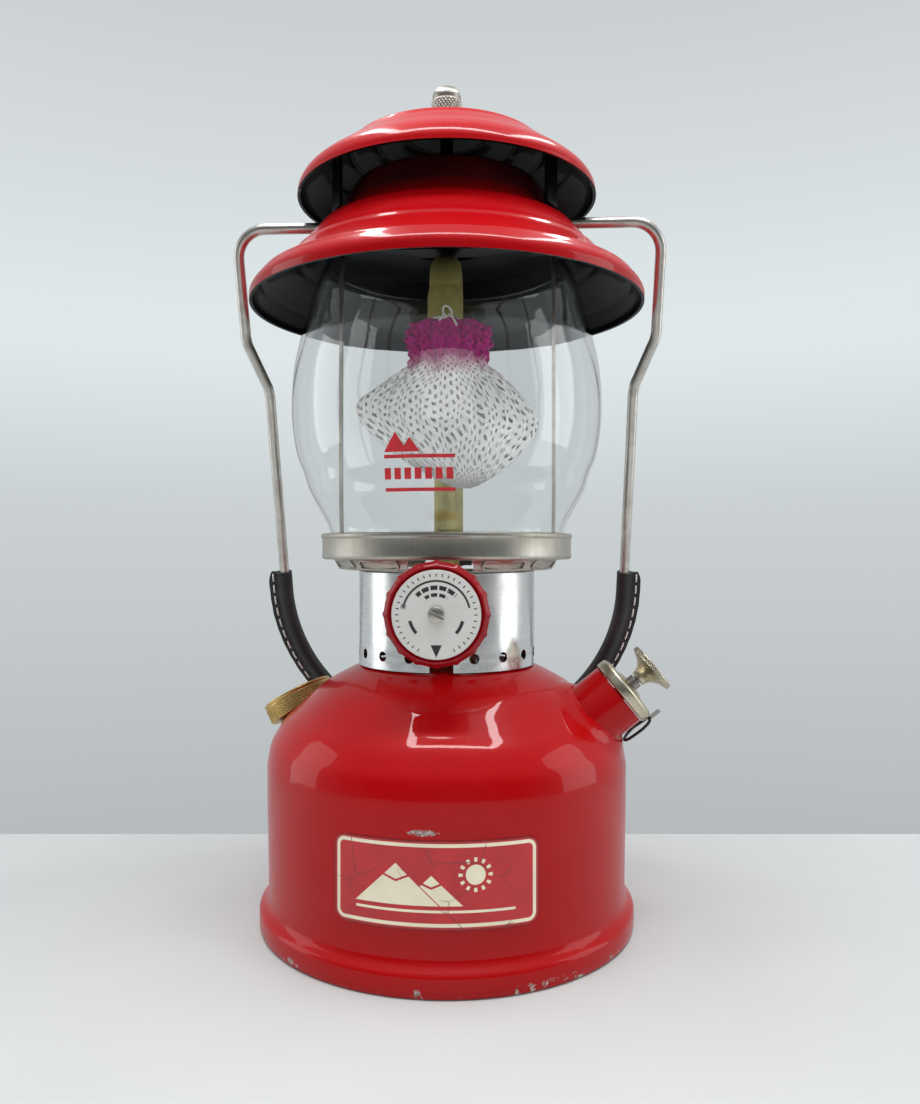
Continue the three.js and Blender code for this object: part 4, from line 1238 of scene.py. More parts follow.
@dataclass
class Filler:
    """Filler neck boss and knurled screw cap."""

    looks: Finishes
    cap_r: float = 14.2
    cap_h: float = 8.0
    diamonds: int = 66

    def build(self) -> None:
        """Make the boss, neck and cap."""
        boss = turned("filler_boss", rounded(((8.9, -13), (12.6, -13), (11.6, -6), (11.0, -0.4), (8.9, -0.4),
                                              (8.9, -13)), 0.8), 64)
        deliver(smooth(FILLER.put(boss)), Body.BASE, Slot.RED, self.looks.red)
        neck = turned("filler_tube", rounded(((6.6, -11), (8.5, -11), (8.5, 3.4), (6.6, 3.4), (6.6, -11)),
                                             0.4), 64)
        deliver(smooth(FILLER.put(neck)), Body.BASE, Slot.BRASS, self.looks.brass, "filler_neck")
        r, h = self.cap_r, self.cap_h
        side = [(r - 0.05, 0.9 + (h - 2.7) * i / 26) for i in range(27)]
        outline = [(0, 5.9), (9.0, 5.9), (9.5, 5.6), (9.6, 0.3), (r - 1.2, 0.3), (r - 0.35, 0.5), *side,
                   (r - 0.3, h - 1.5), (r - 0.25, h - 1.2), (r - 0.05, h - 1.0), (r, h - 0.5),
                   (r - 0.3, h - 0.1), (r - 1.0, h), (r - 1.6, h - 0.15), (r - 2.2, h - 0.6),
                   (r - 4.0, h - 0.75), (3.0, h - 0.75), (0, h - 0.7)]
        cap = turned("filler_cap_knurled", outline, 396)
        knurl(cap, 0.8, h - 1.7, r - 0.4, self.diamonds, 1.45, 0.34)
        deliver(smooth(FILLER.put(cap), 60), Body.FILLER_LID, Slot.BRASS, self.looks.brass, "filler_cap")


@dataclass
class Pump:
    """Hand pump: red stub, plated cap, wire clip, plunger rod and flared knob."""

    looks: Finishes
    stub_r: float = 11.75
    stub_end: float = 9.0
    cap_r: float = 12.5
    cap_t: float = 4.5
    knob_r: float = 9.0

    def build(self) -> None:
        """Make and dress the pump pieces."""
        end, r = self.stub_end, self.stub_r
        stub = turned("pump_stub", rounded(((9.9, -16), (13.2, -16), (12.3, -8), (r, -3), (r, end),
                                            (9.9, end), (9.9, -16)), 0.5), 96)
        deliver(smooth(PUMP.put(stub)), Body.BASE, Slot.RED, self.looks.red)
        low, top = end + 0.3, end + 0.3 + self.cap_t
        cap = turned("pump_cap_ring", rounded((
            (3.1, low), (self.cap_r - 0.4, low), (self.cap_r, low + 0.4), (self.cap_r, top - 1.3),
            (self.cap_r - 0.9, top - 0.5), (self.cap_r - 2.4, top - 0.2), (8.4, top - 0.5), (6.4, top - 0.1),
            (4.6, top + 0.7), (3.1, top + 0.8), (3.1, low)), 0.45), 120)
        deliver(smooth(PUMP.put(cap)), Body.BASE, Slot.NICKEL, self.looks.warm, "pump_cap")
        rod = turned("plunger_rod", rounded(((1.8, -70), (2.6, -70), (2.6, top + 3.1), (1.8, top + 3.1),
                                             (1.8, -70)), 0.3), 32)
        deliver(smooth(PUMP.put(rod)), Body.PLUNGER, Slot.STEEL, self.looks.steel, "pump_plunger")
        self.knob(top + 3.6)
        self.clip(end)

    def knob(self, z: float) -> None:
        """Trumpet-shaped knob with a knurled rim.

        Args:
            z: height of its lower end.
        """
        r = self.knob_r
        flare = dense(((2.85, z + 0.5), (3.0, z + 1.4), (3.5, z + 2.5), (4.5, z + 3.6), (6.1, z + 4.7),
                       (r - 0.6, z + 5.5)), 4)
        rim = [(r, z + 5.75 + 1.4 * i / 10) for i in range(11)]
        outline = [(0, z + 1.2), (1.7, z + 1.2), (1.7, z), (2.6, z), *flare, *rim, (r - 0.3, z + 7.45),
                   (r - 0.8, z + 7.55), (r - 2.2, z + 7.3), (4.0, z + 7.0), (0, z + 6.95)]
        knob = turned("pump_knob_flared", outline, 240)
        knurl(knob, z + 5.7, z + 7.2, r - 0.2, 48, 1.4, 0.42)
        deliver(smooth(PUMP.put(knob), 60), Body.PUMP_HANDLE, Slot.NICKEL, self.looks.warm, "pump_knob")

    def clip(self, end: float) -> None:
        """Dark wire loop hooked on the cap's lower side, with its small tab.

        Args:
            end: end of the stub.
        """
        hang = self.cap_r + 1.0
        loop = catmull([(hang - 1.2, 2.6, end + 3.2), (hang, 3.2, end + 2.2), (hang + 0.2, 4.6, end - 0.6),
                        (hang + 0.1, 4.9, end - 4.0), (hang + 0.3, 3.0, end - 7.4),
                        (hang + 0.4, 0.0, end - 8.6), (hang + 0.3, -3.0, end - 7.4),
                        (hang + 0.1, -4.9, end - 4.0), (hang + 0.2, -4.6, end - 0.6),
                        (hang, -3.2, end + 2.2), (hang - 1.2, -2.6, end + 3.2)], 5)
        wire = swept("pump_clip_wire", loop, 0.55, 8)
        deliver(smooth(PUMP.put(wire)), Body.BASE, Slot.WIRE, self.looks.dark_wire, "pump_cap_clip")
        tab = chamfered_box("pump_clip_tab", (0.7, 4.6, 5.2), (hang - 0.1, 0, end + 5.0), 0.3)
        apply_modifier(tab, "SUBSURF", levels=2, render_levels=2)
        deliver(smooth(PUMP.put(tab)), Body.BASE, Slot.NICKEL, self.looks.nickel)


# ------------------------------------------------------------------ collar and valve
@dataclass
class Collar:
    """Bright perforated collar with the valve slot at the front."""

    looks: Finishes
    radius: float = 32.7
    low: float = 93.4
    high: float = 127.7
    wall: float = 0.9
    hole_r: float = 1.8
    hole_z: float = 98.1
    holes: int = 18
    slot: float = 8.2
    slot_top: float = 119.2

    def bay(self, x0: float, x1: float, middle: float | None) -> list[Piece]:
        """Flat strip of the collar, with a round hole at middle.

        Args:
            x0: left end along the unrolled wall.
            x1: right end.
            middle: hole place, or None for a plain strip.

        Returns:
            The strip in a list.
        """
        deselect()
        z_hole = self.hole_z
        half_w, half_h = (x1 - x0) / 2, 3.4
        cells = 8
        bpy.ops.mesh.primitive_grid_add(x_subdivisions=cells, y_subdivisions=cells, size=2)
        obj = bpy.context.object
        for v in obj.data.vertices:
            v.co.x, v.co.y = round(v.co.x, 6), round(v.co.y, 6)
        if middle is not None:
            bpy.ops.object.mode_set(mode="EDIT")
            bpy.ops.mesh.select_all(action="DESELECT")
            bpy.ops.mesh.select_mode(type="FACE")
            bpy.ops.object.mode_set(mode="OBJECT")
            for face in obj.data.polygons:
                face.select = max(abs(face.center.x), abs(face.center.y)) < 0.7
            bpy.ops.object.mode_set(mode="EDIT")
            bpy.ops.mesh.delete(type="FACE")
            bpy.ops.object.mode_set(mode="OBJECT")
        for v in obj.data.vertices:
            x, y = v.co.x, v.co.y
            level = max(abs(x), abs(y))
            square = Vector((x * half_w, y * half_h))
            if middle is not None and level < 0.999:
                way = Vector((x, y)).normalized()
                ring = 0 if level < 0.76 else 1
                round_r = (self.hole_r, self.hole_r + 0.55)[ring]
                spot = way * round_r
                v.co = Vector((spot.x, spot.y, 0))
            else:
                v.co = Vector((square.x, square.y, 0))
            v.co = Vector((v.co.x + (x0 + x1) / 2, 0, v.co.y + z_hole))
        return [obj]

    def strip(self, x0: float, x1: float, z0: float, z1: float, nx: int, nz: int) -> Piece:
        """Plain flat grid of the unrolled wall."""
        rows = [[Vector((x0 + (x1 - x0) * i / nx, 0, z0 + (z1 - z0) * j / nz)) for i in range(nx + 1)]
                for j in range(nz + 1)]
        return ribbon_rows("strip", rows)

    def build(self) -> None:
        """Make the wall from unrolled bays, roll it up and add the top flange."""
        turn = 2 * math.pi * self.radius
        step = turn / self.holes
        half = self.slot / 2
        parts: list[Piece] = []
        hz0, hz1 = self.hole_z - 3.4, self.hole_z + 3.4
        for k in range(1, self.holes):
            x0, x1 = (k - 0.5) * step, (k + 0.5) * step
            parts += self.bay(x0, x1, k * step)
            parts.append(self.strip(x0, x1, self.low, hz0, 8, 1))
            parts.append(self.strip(x0, x1, hz1, self.high - 0.5, 8, 12))
        for x0, x1 in ((half, 0.5 * step), (turn - 0.5 * step, turn - half)):
            parts.append(self.strip(x0, x1, self.low, hz0, 2, 1))
            parts.append(self.strip(x0, x1, hz0, hz1, 2, 8))
            parts.append(self.strip(x0, x1, hz1, self.high - 0.5, 2, 12))
        over = self.strip(turn - half, turn + half, self.slot_top - half, self.high - 0.5, 16, 10)
        for v in over.data.vertices:
            p = v.co / MM
            s = (p.x - turn) / half
            arch = self.slot_top - half + half * math.sqrt(max(0.0, 1 - s * s))
            k = (p.z - (self.slot_top - half)) / (self.high - 0.5 - (self.slot_top - half))
            v.co.z = (arch + (self.high - 0.5 - arch) * k) * MM
        parts.append(over)
        for part in parts:
            if part.name.startswith("Grid"):
                part.data.transform(Matrix.Scale(MM, 4))
        wall = joined("collar_wall", parts)

        def roll(p: Vector) -> Vector:
            """Roll the flat wall round the axis, slot to the front."""
            angle = p.x / self.radius
            return Vector((self.radius * math.sin(angle), -self.radius * math.cos(angle), p.z))

        reshape(wall, roll)
        tidy_mesh(wall, 0.02)
        top = self.high
        only(wall)
        apply_modifier(wall, "SOLIDIFY", thickness=self.wall * MM, offset=-1.0)
        paint_inside(smooth(wall, 45), self.looks.chrome, self.looks.black, Vector((0, 0, 110)))
        deliver(wall, Body.BASE, Slot.CHROME, None, "collar")
        cap = turned("collar_top", rounded(((24.7, top - 1), (self.radius - 0.9, top - 1.0),
                                            (self.radius - 0.9, top - 1.6), (self.radius, top - 1.6),
                                            (self.radius, top), (24.7, top), (24.7, top - 1)), 0.5), 160)
        deliver(smooth(cap), Body.BASE, Slot.CHROME, self.looks.chrome)


@dataclass
class Valve:
    """Valve body, packing nut, stem, scalloped knob, dial and screw."""

    looks: Finishes
    axis_z: float = 115.1
    knob_r: float = 17.1
    lobes: int = 16
    back: float = 53.7
    thick: float = 5.0
    dial_r: float = 14.1

    def build(self) -> None:
        """Make and dress the valve pieces."""
        body = turned("valve_column", rounded(((0, 83.1), (6.4, 83.1), (6.4, 98.0), (6.0, 99.0), (6.0, 108.5),
                                               (6.5, 109.5), (6.5, 121.2), (5.8, 122.1), (4.2, 122.1),
                                               (4.2, 119.2), (0, 119.2)), 0.4), 64)
        base = hex_bar("valve_hex", 11.0, 93.4, 98.1)
        arm = to_valve(turned("valve_arm", rounded(((0, 0), (5.4, 0), (5.4, 16.4), (2.6, 16.4), (2.6, 4.2),
                                                    (0, 4.2)), 0.4), 48))
        whole = joined("valve_brass", [smooth(body), smooth(base, 25), smooth(arm)])
        deliver(whole, Body.BASE, Slot.BRASS, self.looks.brass, "valve_body")
        nut = to_valve(hex_bar("packing_hex", 6.4, 16.8, 23.8, 2.4))
        deliver(smooth(nut, 25), Body.BASE, Slot.BRASS, self.looks.brass, "packing_nut")
        stem = to_valve(turned("stem_rod_turned", rounded(((0, 4.4), (2, 4.4), (2, self.back + 0.8),
                                                           (0, self.back + 0.8)), 0.3), 32))
        deliver(smooth(stem), Body.VALVE, Slot.STEEL, self.looks.steel, "valve_stem")
        self.knob()

    def knob(self) -> None:
        """Scalloped knob with its rolled rim, the dial in it and the slotted screw."""
        back, r, face = self.back, self.knob_r, self.back + self.thick
        outline = rounded((
            (2.4, back - 5), (4.8, back - 5), (5.2, back - 1.5), (5.6, back + 1.0), (11.5, back + 1.2),
            (r - 2.6, back + 0.4), (r - 1.9, back - 0.3), (r - 0.7, back), (r, back + 0.9), (r, face - 1.6),
            (r - 0.8, face - 0.7), (r - 1.5, face - 0.2), (r - 2.1, face), (self.dial_r + 0.75, face - 0.2),
            (self.dial_r + 0.3, face - 0.9), (2.4, face - 0.95), (2.4, back - 5)), 0.5, 3)
        knob = turned("valve_knob_scalloped", outline, 288)

        def scallop(p: Vector) -> Vector:
            """Push the rim in and out round its lobes."""
            radius = math.hypot(p.x, p.y)
            share = smoothstep((radius - (r - 2.3)) / 1.6)
            if share <= 0:
                return p
            wave = 0.5 + 0.5 * math.cos(self.lobes * math.atan2(p.y, p.x))
            behind = 1 - smoothstep((p.z - (face - 1.9)) / 1.2)
            drop = share * (0.5 - 0.5 * wave ** 5 * (0.3 + 0.7 * behind))
            k = (radius - drop) / radius
            return Vector((p.x * k, p.y * k, p.z))

        reshape(knob, scallop)
        deliver(smooth(to_valve(knob), 60), Body.VALVE, Slot.RED, self.looks.knob_red, "valve_knob")
        dial = turned("direction_plate", rounded(((1.9, face - 0.6), (self.dial_r - 0.2, face - 0.6),
                                                  (self.dial_r, face - 0.35),
                                                  (self.dial_r - 0.25, face - 0.02), (1.9, face),
                                                  (1.9, face - 0.6)), 0.12), 128)
        layer = dial.data.uv_layers.active or dial.data.uv_layers.new(name="UVMap")
        for loop in dial.data.loops:
            p = dial.data.vertices[loop.vertex_index].co / MM / self.dial_r
            layer.data[loop.index].uv = (p.x, p.y)
        deliver(smooth(to_valve(dial)), Body.VALVE, Slot.DIAL, self.looks.dial, "direction_disc")
        head = face + 0.2
        screw = turned("dial_screw", [(0, self.back + 1.7), (1.4, self.back + 1.7), (1.4, head), (2.45, head),
                                      (2.7, head + 0.25), (2.65, head + 0.75), (2.2, head + 1.1),
                                      (1.3, head + 1.32), (0, head + 1.4)], 48)
        slot_tool = chamfered_box("slot_tool", (0.75, 7, 1.6), (0, 0, head + 1.45), 0.05)
        slot_tool.data.transform(Matrix.Rotation(math.radians(62), 4, "Z"))
        cut(screw, slot_tool)
        deliver(smooth(to_valve(screw), 30), Body.VALVE, Slot.NICKEL, self.looks.nickel, "knob_screw")


# ------------------------------------------------------------------ globe rest and burner
@dataclass
class GlobeRest:
    """Pressed dish that carries the globe, with its pierced skirt."""

    looks: Finishes
    rim_r: float = 46.6
    rim_top: float = 141.3
    floor_z: float = 135.0
    skirt_r: float = 38.2
    skirt_low: float = 128.0
    arch_w: float = 22.0
    arch_top: float = 133.2

    def build(self) -> None:
        """Make the dish, its skirt, the windows' rolled borders and the small mark."""
        r, top, floor = self.rim_r, self.rim_top, self.floor_z
        dish = turned("globe_rest_dish", rounded((
            (28.7, floor + 1.1), (r - 2.5, floor + 1.1), (r - 1.6, floor + 2.0), (r - 1.4, top - 1.6),
            (r - 1.2, top - 0.3), (r - 0.6, top + 0.0), (r, top - 0.5), (r, top - 1.5), (r - 0.35, top - 2.0),
            (r - 0.45, top - 7.0), (r - 0.2, top - 7.8), (r - 0.3, top - 8.8), (r - 1.0, top - 9.5),
            (r - 2.2, top - 9.2), (r - 3.2, floor), (28.7, floor), (28.7, floor + 1.1)), 0.6), 192)
        low = self.skirt_low
        skirt = turned("globe_rest_skirt",
                       rounded(((self.skirt_r - 1.2, floor), (self.skirt_r - 1.2, low + 0.3),
                                (self.skirt_r - 0.4, low), (self.skirt_r + 1.2, low + 0.3),
                                (self.skirt_r + 2.2, low + 2.2), (self.skirt_r + 3.4, low + 3.5),
                                (r - 2.7, low + 4.3), (r - 2.5, low + 5.2), (r - 3.4, floor),
                                (self.skirt_r - 1.2, floor)), 0.5), 192)
        for turn in (0.0, 90.0):
            tool = chamfered_box("arch_tool", (self.arch_w, 120, 10), (0, 0, self.arch_top - 5), 3.0)
            tool.data.transform(Matrix.Rotation(math.radians(turn), 4, "Z"))
            cut(skirt, tool)
        whole = joined("globe_rest_pressed", [smooth(dish, 45), smooth(skirt, 35)])
        deliver(whole, Body.BASE, Slot.CHROME, self.looks.rest, "globe_rest")
        borders = [self.border(turn) for turn in (-32, -62, 32, 62, 118, 148, 212, 242)]
        deliver(smooth(joined("rest_window_borders", borders)), Body.BASE, Slot.CHROME, self.looks.rest)
        self.marker()

    def border(self, turn: float) -> Piece:
        """Rolled oblong border of one stamped window, turned from the front in degrees.

        Args:
            turn: turn from the front in degrees.

        Returns:
            The border.
        """
        half, low, high = 8.4, self.skirt_low + 0.7, self.skirt_low + 3.5
        mid, r = (low + high) / 2, (high - low) / 2
        flat = []
        for i in range(13):
            a = math.radians(-90 + 180 * i / 12)
            flat.append((half - r + r * math.cos(a), mid + r * math.sin(a)))
        for i in range(13):
            a = math.radians(90 + 180 * i / 12)
            flat.append((-half + r + r * math.cos(a), mid + r * math.sin(a)))
        points = []
        for x, z in flat:
            r_here = self.skirt_r + 1.35 + (z - self.skirt_low) * 0.58
            a = math.radians(turn) + x / r_here
            points.append((r_here * math.sin(a), -r_here * math.cos(a), z))
        return swept("rest_window", points, 0.42, 8, ring=True)

    def marker(self) -> None:
        """Small black triangle mark beside the knob on the dish's lower edge."""
        rows = []
        for z in (130.2, 131.7, 133.2):
            rows.append([Vector((42.0 * math.sin(a), -42.0 * math.cos(a), z))
                         for a in (math.radians(9.0 + 1.4 * i) for i in range(5))])
        patch = ribbon_rows("rest_mark", rows)
        apply_modifier(patch, "SOLIDIFY", thickness=0.15 * MM, offset=0.0)
        deliver(tidy_mesh(patch), Body.BASE, Slot.BLACK, self.looks.mark)


@dataclass
class Burner:
    """Generator, air tube bent over the top, ceramic cap and the mantle's string."""

    looks: Finishes
    front_y: float = -11.0
    back_y: float = 13.8
    low: float = 128.9
    top: float = 239.25
    bend: float = 8.0
    cap_low: float = 204.9

    def build(self) -> None:
        """Make and dress the burner pieces."""
        rise = catmull([(0, 0, 119.5), (0, 0, 123.4), (0, 2.2, 126.4), (0, 4.4, 129.4), (0, 4.4, 133.4),
                        (0, 4.4, 170.0), (0, 4.4, 230.0)], 8)
        gen = swept("generator_tube", rise, 2.95, 24)
        nuts = [hex_bar("generator_nut", 4.4, 143.0, 149.0, 3.05),
                hex_bar("generator_jam", 4.0, 206.0, 209.5, 3.05)]
        for nut in nuts:
            nut.data.transform(Matrix.Translation((0, 4.4 * MM, 0)))
        deliver(joined("generator_piped", [smooth(gen), *[smooth(n, 25) for n in nuts]]), Body.BASE,
                Slot.BRASS, self.looks.burner, "generator")
        b, f, t, k = self.back_y, self.front_y, self.top, self.bend
        path = [(0, b, self.low), (0, b, 160), (0, b, 190), (0, b, 215), (0, b, t - k)]
        arc = [math.radians(15 * i) for i in range(1, 7)]
        path += [(0, b - k + k * math.cos(a), t - k + k * math.sin(a)) for a in arc]
        path += [(0, f + k - k * math.sin(a), t - k + k * math.cos(a)) for a in [0.0, *arc]]
        path.append((0, f, t - k - 5))
        tube = swept("air_tube", path, 5.65, 32)
        end = turned("air_tube_end", rounded(((0, 209.2), (6.2, 209.2), (6.7, 209.6), (6.7, 213.4),
                                              (6.3, 214.0), (6.3, 227.0), (5.5, 230.6), (0, 230.8)), 0.4),
                     64)
        end.data.transform(Matrix.Translation((0, f * MM, 0)))
        deliver(joined("air_tube_bent", [smooth(tube), smooth(end)]), Body.BASE, Slot.STEEL,
                self.looks.burner, "burner_tube")
        low = self.cap_low
        cap = turned("ceramic_cap", rounded(((3.8, low), (7.2, low), (7.35, low + 0.6), (7.35, low + 3.7),
                                             (4.9, low + 3.7), (4.9, low + 7.0), (3.8, low + 7.0),
                                             (3.8, low)), 0.4), 64)
        cap.data.transform(Matrix.Translation((0, f * MM, 0)))
        deliver(smooth(cap), Body.BASE, Slot.CERAMIC, self.looks.clay, "burner_cap")
        cord = [(8.0 * math.cos(a), f + 8.0 * math.sin(a), 217.1 + 0.25 * math.sin(3 * a))
                for a in (2 * math.pi * i / 60 for i in range(60))]
        knot = [swept("string_round", cord, 0.7, 8, ring=True)]
        for side, reach, droop in ((-1, 2.6, 1.6), (1, 3.6, 3.4)):
            tail = catmull([(1.2, f - 8.2, 217.3), (1.2 + side * 0.8, f - 9.4, 218.2),
                            (1.2 + side * reach * 0.6, f - 10.2, 217.8 - droop * 0.3),
                            (1.2 + side * reach, f - 10.8, 217.4 - droop)], 4)
            knot.append(swept("string_tail", tail, 0.38, 8))
        bow = [(1.3 + 1.5 * math.cos(a) - 0.5 * math.sin(a), f - 8.9 - 0.5 * math.sin(a),
                219.2 + 2.0 * math.sin(a)) for a in (2 * math.pi * i / 28 for i in range(28))]
        knot.append(swept("string_bow", bow, 0.4, 8, ring=True))
        deliver(smooth(joined("mantle_tie", knot)), Body.BASE, Slot.STRING, self.looks.cotton,
                "mantle_string")


@dataclass
class Mantle:
    """Limp knitted bag tied round the burner, its gathered top flared into a frill."""

    looks: Finishes
    centre: tuple[float, float] = (0.7, -11.0)
    around: int = 240
    down: int = 108
    seed: float = 3.7
    rings: Sequence[tuple[float, float, float, float]] = ((216.6, 8.7, 8.7, 0.0), (216.9, 10.4, 9.4, 0.2),
                                                          (215.6, 12.7, 10.0, 0.4),
                                                          (211.0, 13.9, 10.2, 0.7),
                                                          (206.0, 13.2, 10.1, 0.7),
                                                          (202.0, 13.2, 10.0, 0.5),
                                                          (198.5, 17.4, 10.4, 0.4),
                                                          (193.5, 24.3, 10.6, 0.2),
                                                          (188.0, 29.6, 10.7, 0.2),
                                                          (183.0, 31.2, 10.8, 0.2),
                                                          (177.5, 29.0, 10.5, 0.6), (171.0, 23.4, 9.6, 1.8),
                                                          (165.0, 16.2, 8.1, 3.2), (160.5, 8.8, 5.4, 4.6),
                                                          (158.2, 4.2, 1.6, 5.4), (157.6, 3.2, 0.0, 5.6))

    def ring_at(self, share: float) -> tuple[float, float, float, float]:
        """Height, half width, half depth and sideways shift at a share of the way down.

        Args:
            share: share of the way down.

        Returns:
            Height, half width, half depth and shift.
        """
        spot = share * (len(self.rings) - 1)
        i = min(int(spot), len(self.rings) - 2)
        t = spot - i
        pts = [self.rings[max(0, min(len(self.rings) - 1, k))] for k in (i - 1, i, i + 1, i + 2)]
        out = []
        for a, b, c, d in zip(*pts):
            out.append(0.5 * (2 * b + (c - a) * t + (2 * a - 5 * b + 4 * c - d) * t * t
                              + (3 * b - a - 3 * c + d) * t ** 3))
        return out[0], out[1], out[2], out[3]

    def spot(self, turn: float, share: float) -> Vector:
        """Point of the cloth at a turn in radians and a share down.

        Args:
            turn: turn in radians.
            share: share of the way down.

        Returns:
            The point.
        """
        z, a, b, shift = self.ring_at(share)
        frill = max(0.0, 1 - abs(share - 0.17) / 0.17)
        waist = max(0.0, 1 - abs(share - 0.36) / 0.16)
        body = smoothstep((share - 0.38) / 0.2) * (1 - smoothstep((share - 0.86) / 0.12))
        wander = noise.noise(Vector((math.cos(turn) * 1.3, math.sin(turn) * 1.3, self.seed)))
        pleat = math.sin(17 * turn + 3.2 * wander + 1.1)
        fold = math.sin(7 * turn + 3.0 * wander + 5.0 * share)
        soft = noise.noise(Vector((math.cos(turn) * 2.2, math.sin(turn) * 2.2, share * 6.0 + self.seed)))
        crimp = noise.noise(Vector((math.cos(turn) * 7.0, math.sin(turn) * 7.0, share * 34.0 + self.seed)))
        grow = 1 + 0.14 * frill * pleat + 0.14 * waist * math.sin(11 * turn + 2 * wander)
        grow += (0.045 * body * fold + 0.05 * body * soft + (0.26 * frill + 0.14 * waist) * crimp
                 + 0.03 * body * math.sin(31 * turn + 4 * wander))
        x = a * grow * math.copysign(abs(math.cos(turn)) ** 0.92, math.cos(turn))
        y = b * min(grow, 1.04) * math.copysign(abs(math.sin(turn)) ** 0.8, math.sin(turn))
        y += 1.6 * body * math.sin(x / 5.2 + 2.2 * share) * (1 - abs(x) / 40)
        z += 0.9 * frill * math.sin(9 * turn + 1.7) - 0.1 * x * body + 0.5 * body * soft
        return Vector((self.centre[0] + shift + x, max(self.centre[1] + y, -22.6), z))

    def build(self) -> None:
        rows = []
        for j in range(self.down + 1):
            share = j / self.down
            rows.append([self.spot(2 * math.pi * i / self.around, share) for i in range(self.around + 1)])
        bag = ribbon_rows("mantle_bag", rows, uv=True)
        edit(bag)
        bpy.ops.mesh.remove_doubles(threshold=0.004 * MM)
        bpy.ops.object.mode_set(mode="OBJECT")
        deliver(smooth(bag, 180), Body.BASE, Slot.KNIT, self.looks.knit, "mantle")


@dataclass
class Globe:
    """Blown globe with a small printed badge low on its front."""

    looks: Finishes
    radius: float = 57.3
    low: float = 136.4
    height: float = 104.5
    wall: float = 1.3
    shares: Profile = ((0.757, 0), (0.761, 0.06), (0.793, 0.1), (0.848, 0.155), (0.893, 0.205), (0.923, 0.26),
                       (0.96, 0.31), (0.983, 0.37), (0.996, 0.43), (1, 0.49), (0.997, 0.55), (0.986, 0.62),
                       (0.965, 0.68), (0.937, 0.745), (0.9, 0.82), (0.869, 0.885), (0.829, 0.94),
                       (0.794, 0.976), (0.785, 1))

    def outside(self) -> Outline:
        """Outside of the glass from its foot up."""
        return dense([(r * self.radius, self.low + z * self.height) for r, z in self.shares], 3)

    def radius_at(self, z: float) -> float:
        """Outside radius at a height."""
        line = self.outside()
        for (r0, z0), (r1, z1) in zip(line, line[1:]):
            if z0 <= z <= z1:
                return r0 + (r1 - r0) * (z - z0) / max(z1 - z0, 1e-6)
        return self.radius

    def patch(self, x0: float, x1: float, z0: float, z1: float, top: float = 1.0) -> Piece:
        """Printed patch on the front of the glass, narrowed to a share of its width at the top.

        Args:
            x0: left edge.
            x1: right edge.
            z0: lower edge.
            z1: upper edge.
            top: share of its width that is left at the top.

        Returns:
            The thin patch.
        """
        rows = []
        for j in range(9):
            z = z0 + (z1 - z0) * j / 8
            r = self.radius_at(z) + 0.05
            narrow = 1 + (top - 1) * j / 8
            mid, half = (x0 + x1) / 2, (x1 - x0) / 2 * narrow
            rows.append([Vector((r * math.sin(a), -r * math.cos(a), z))
                         for a in ((mid + half * (2 * i / 12 - 1)) / r for i in range(13))])
        flat = ribbon_rows("glass_patch", rows)
        apply_modifier(flat, "SOLIDIFY", thickness=0.05 * MM, offset=0.0)
        return tidy_mesh(flat, 0.0005)

    def build(self) -> None:
        """Make the glass and its print."""
        glass = turned("globe_blown", rounded(shell(self.outside(), self.wall), 0.4), 192)
        deliver(smooth(glass, 60), Body.CHIMNEY, Slot.GLASS, self.looks.glass, "globe")
        marks = [self.patch(-17.5, -9.5, 166.5, 172.5, 0.04), self.patch(-12.0, -5.5, 166.5, 170.8, 0.04),
                 self.patch(-17.6, 5.6, 164.6, 165.7), self.patch(-17.6, 5.6, 154.2, 155.3)]
        marks += [self.patch(-17.6 + 3.4 * i, -15.4 + 3.4 * i, 158.0, 161.6) for i in range(7)]
        deliver(joined("globe_print", marks), Body.CHIMNEY, Slot.RED, self.looks.print_red)


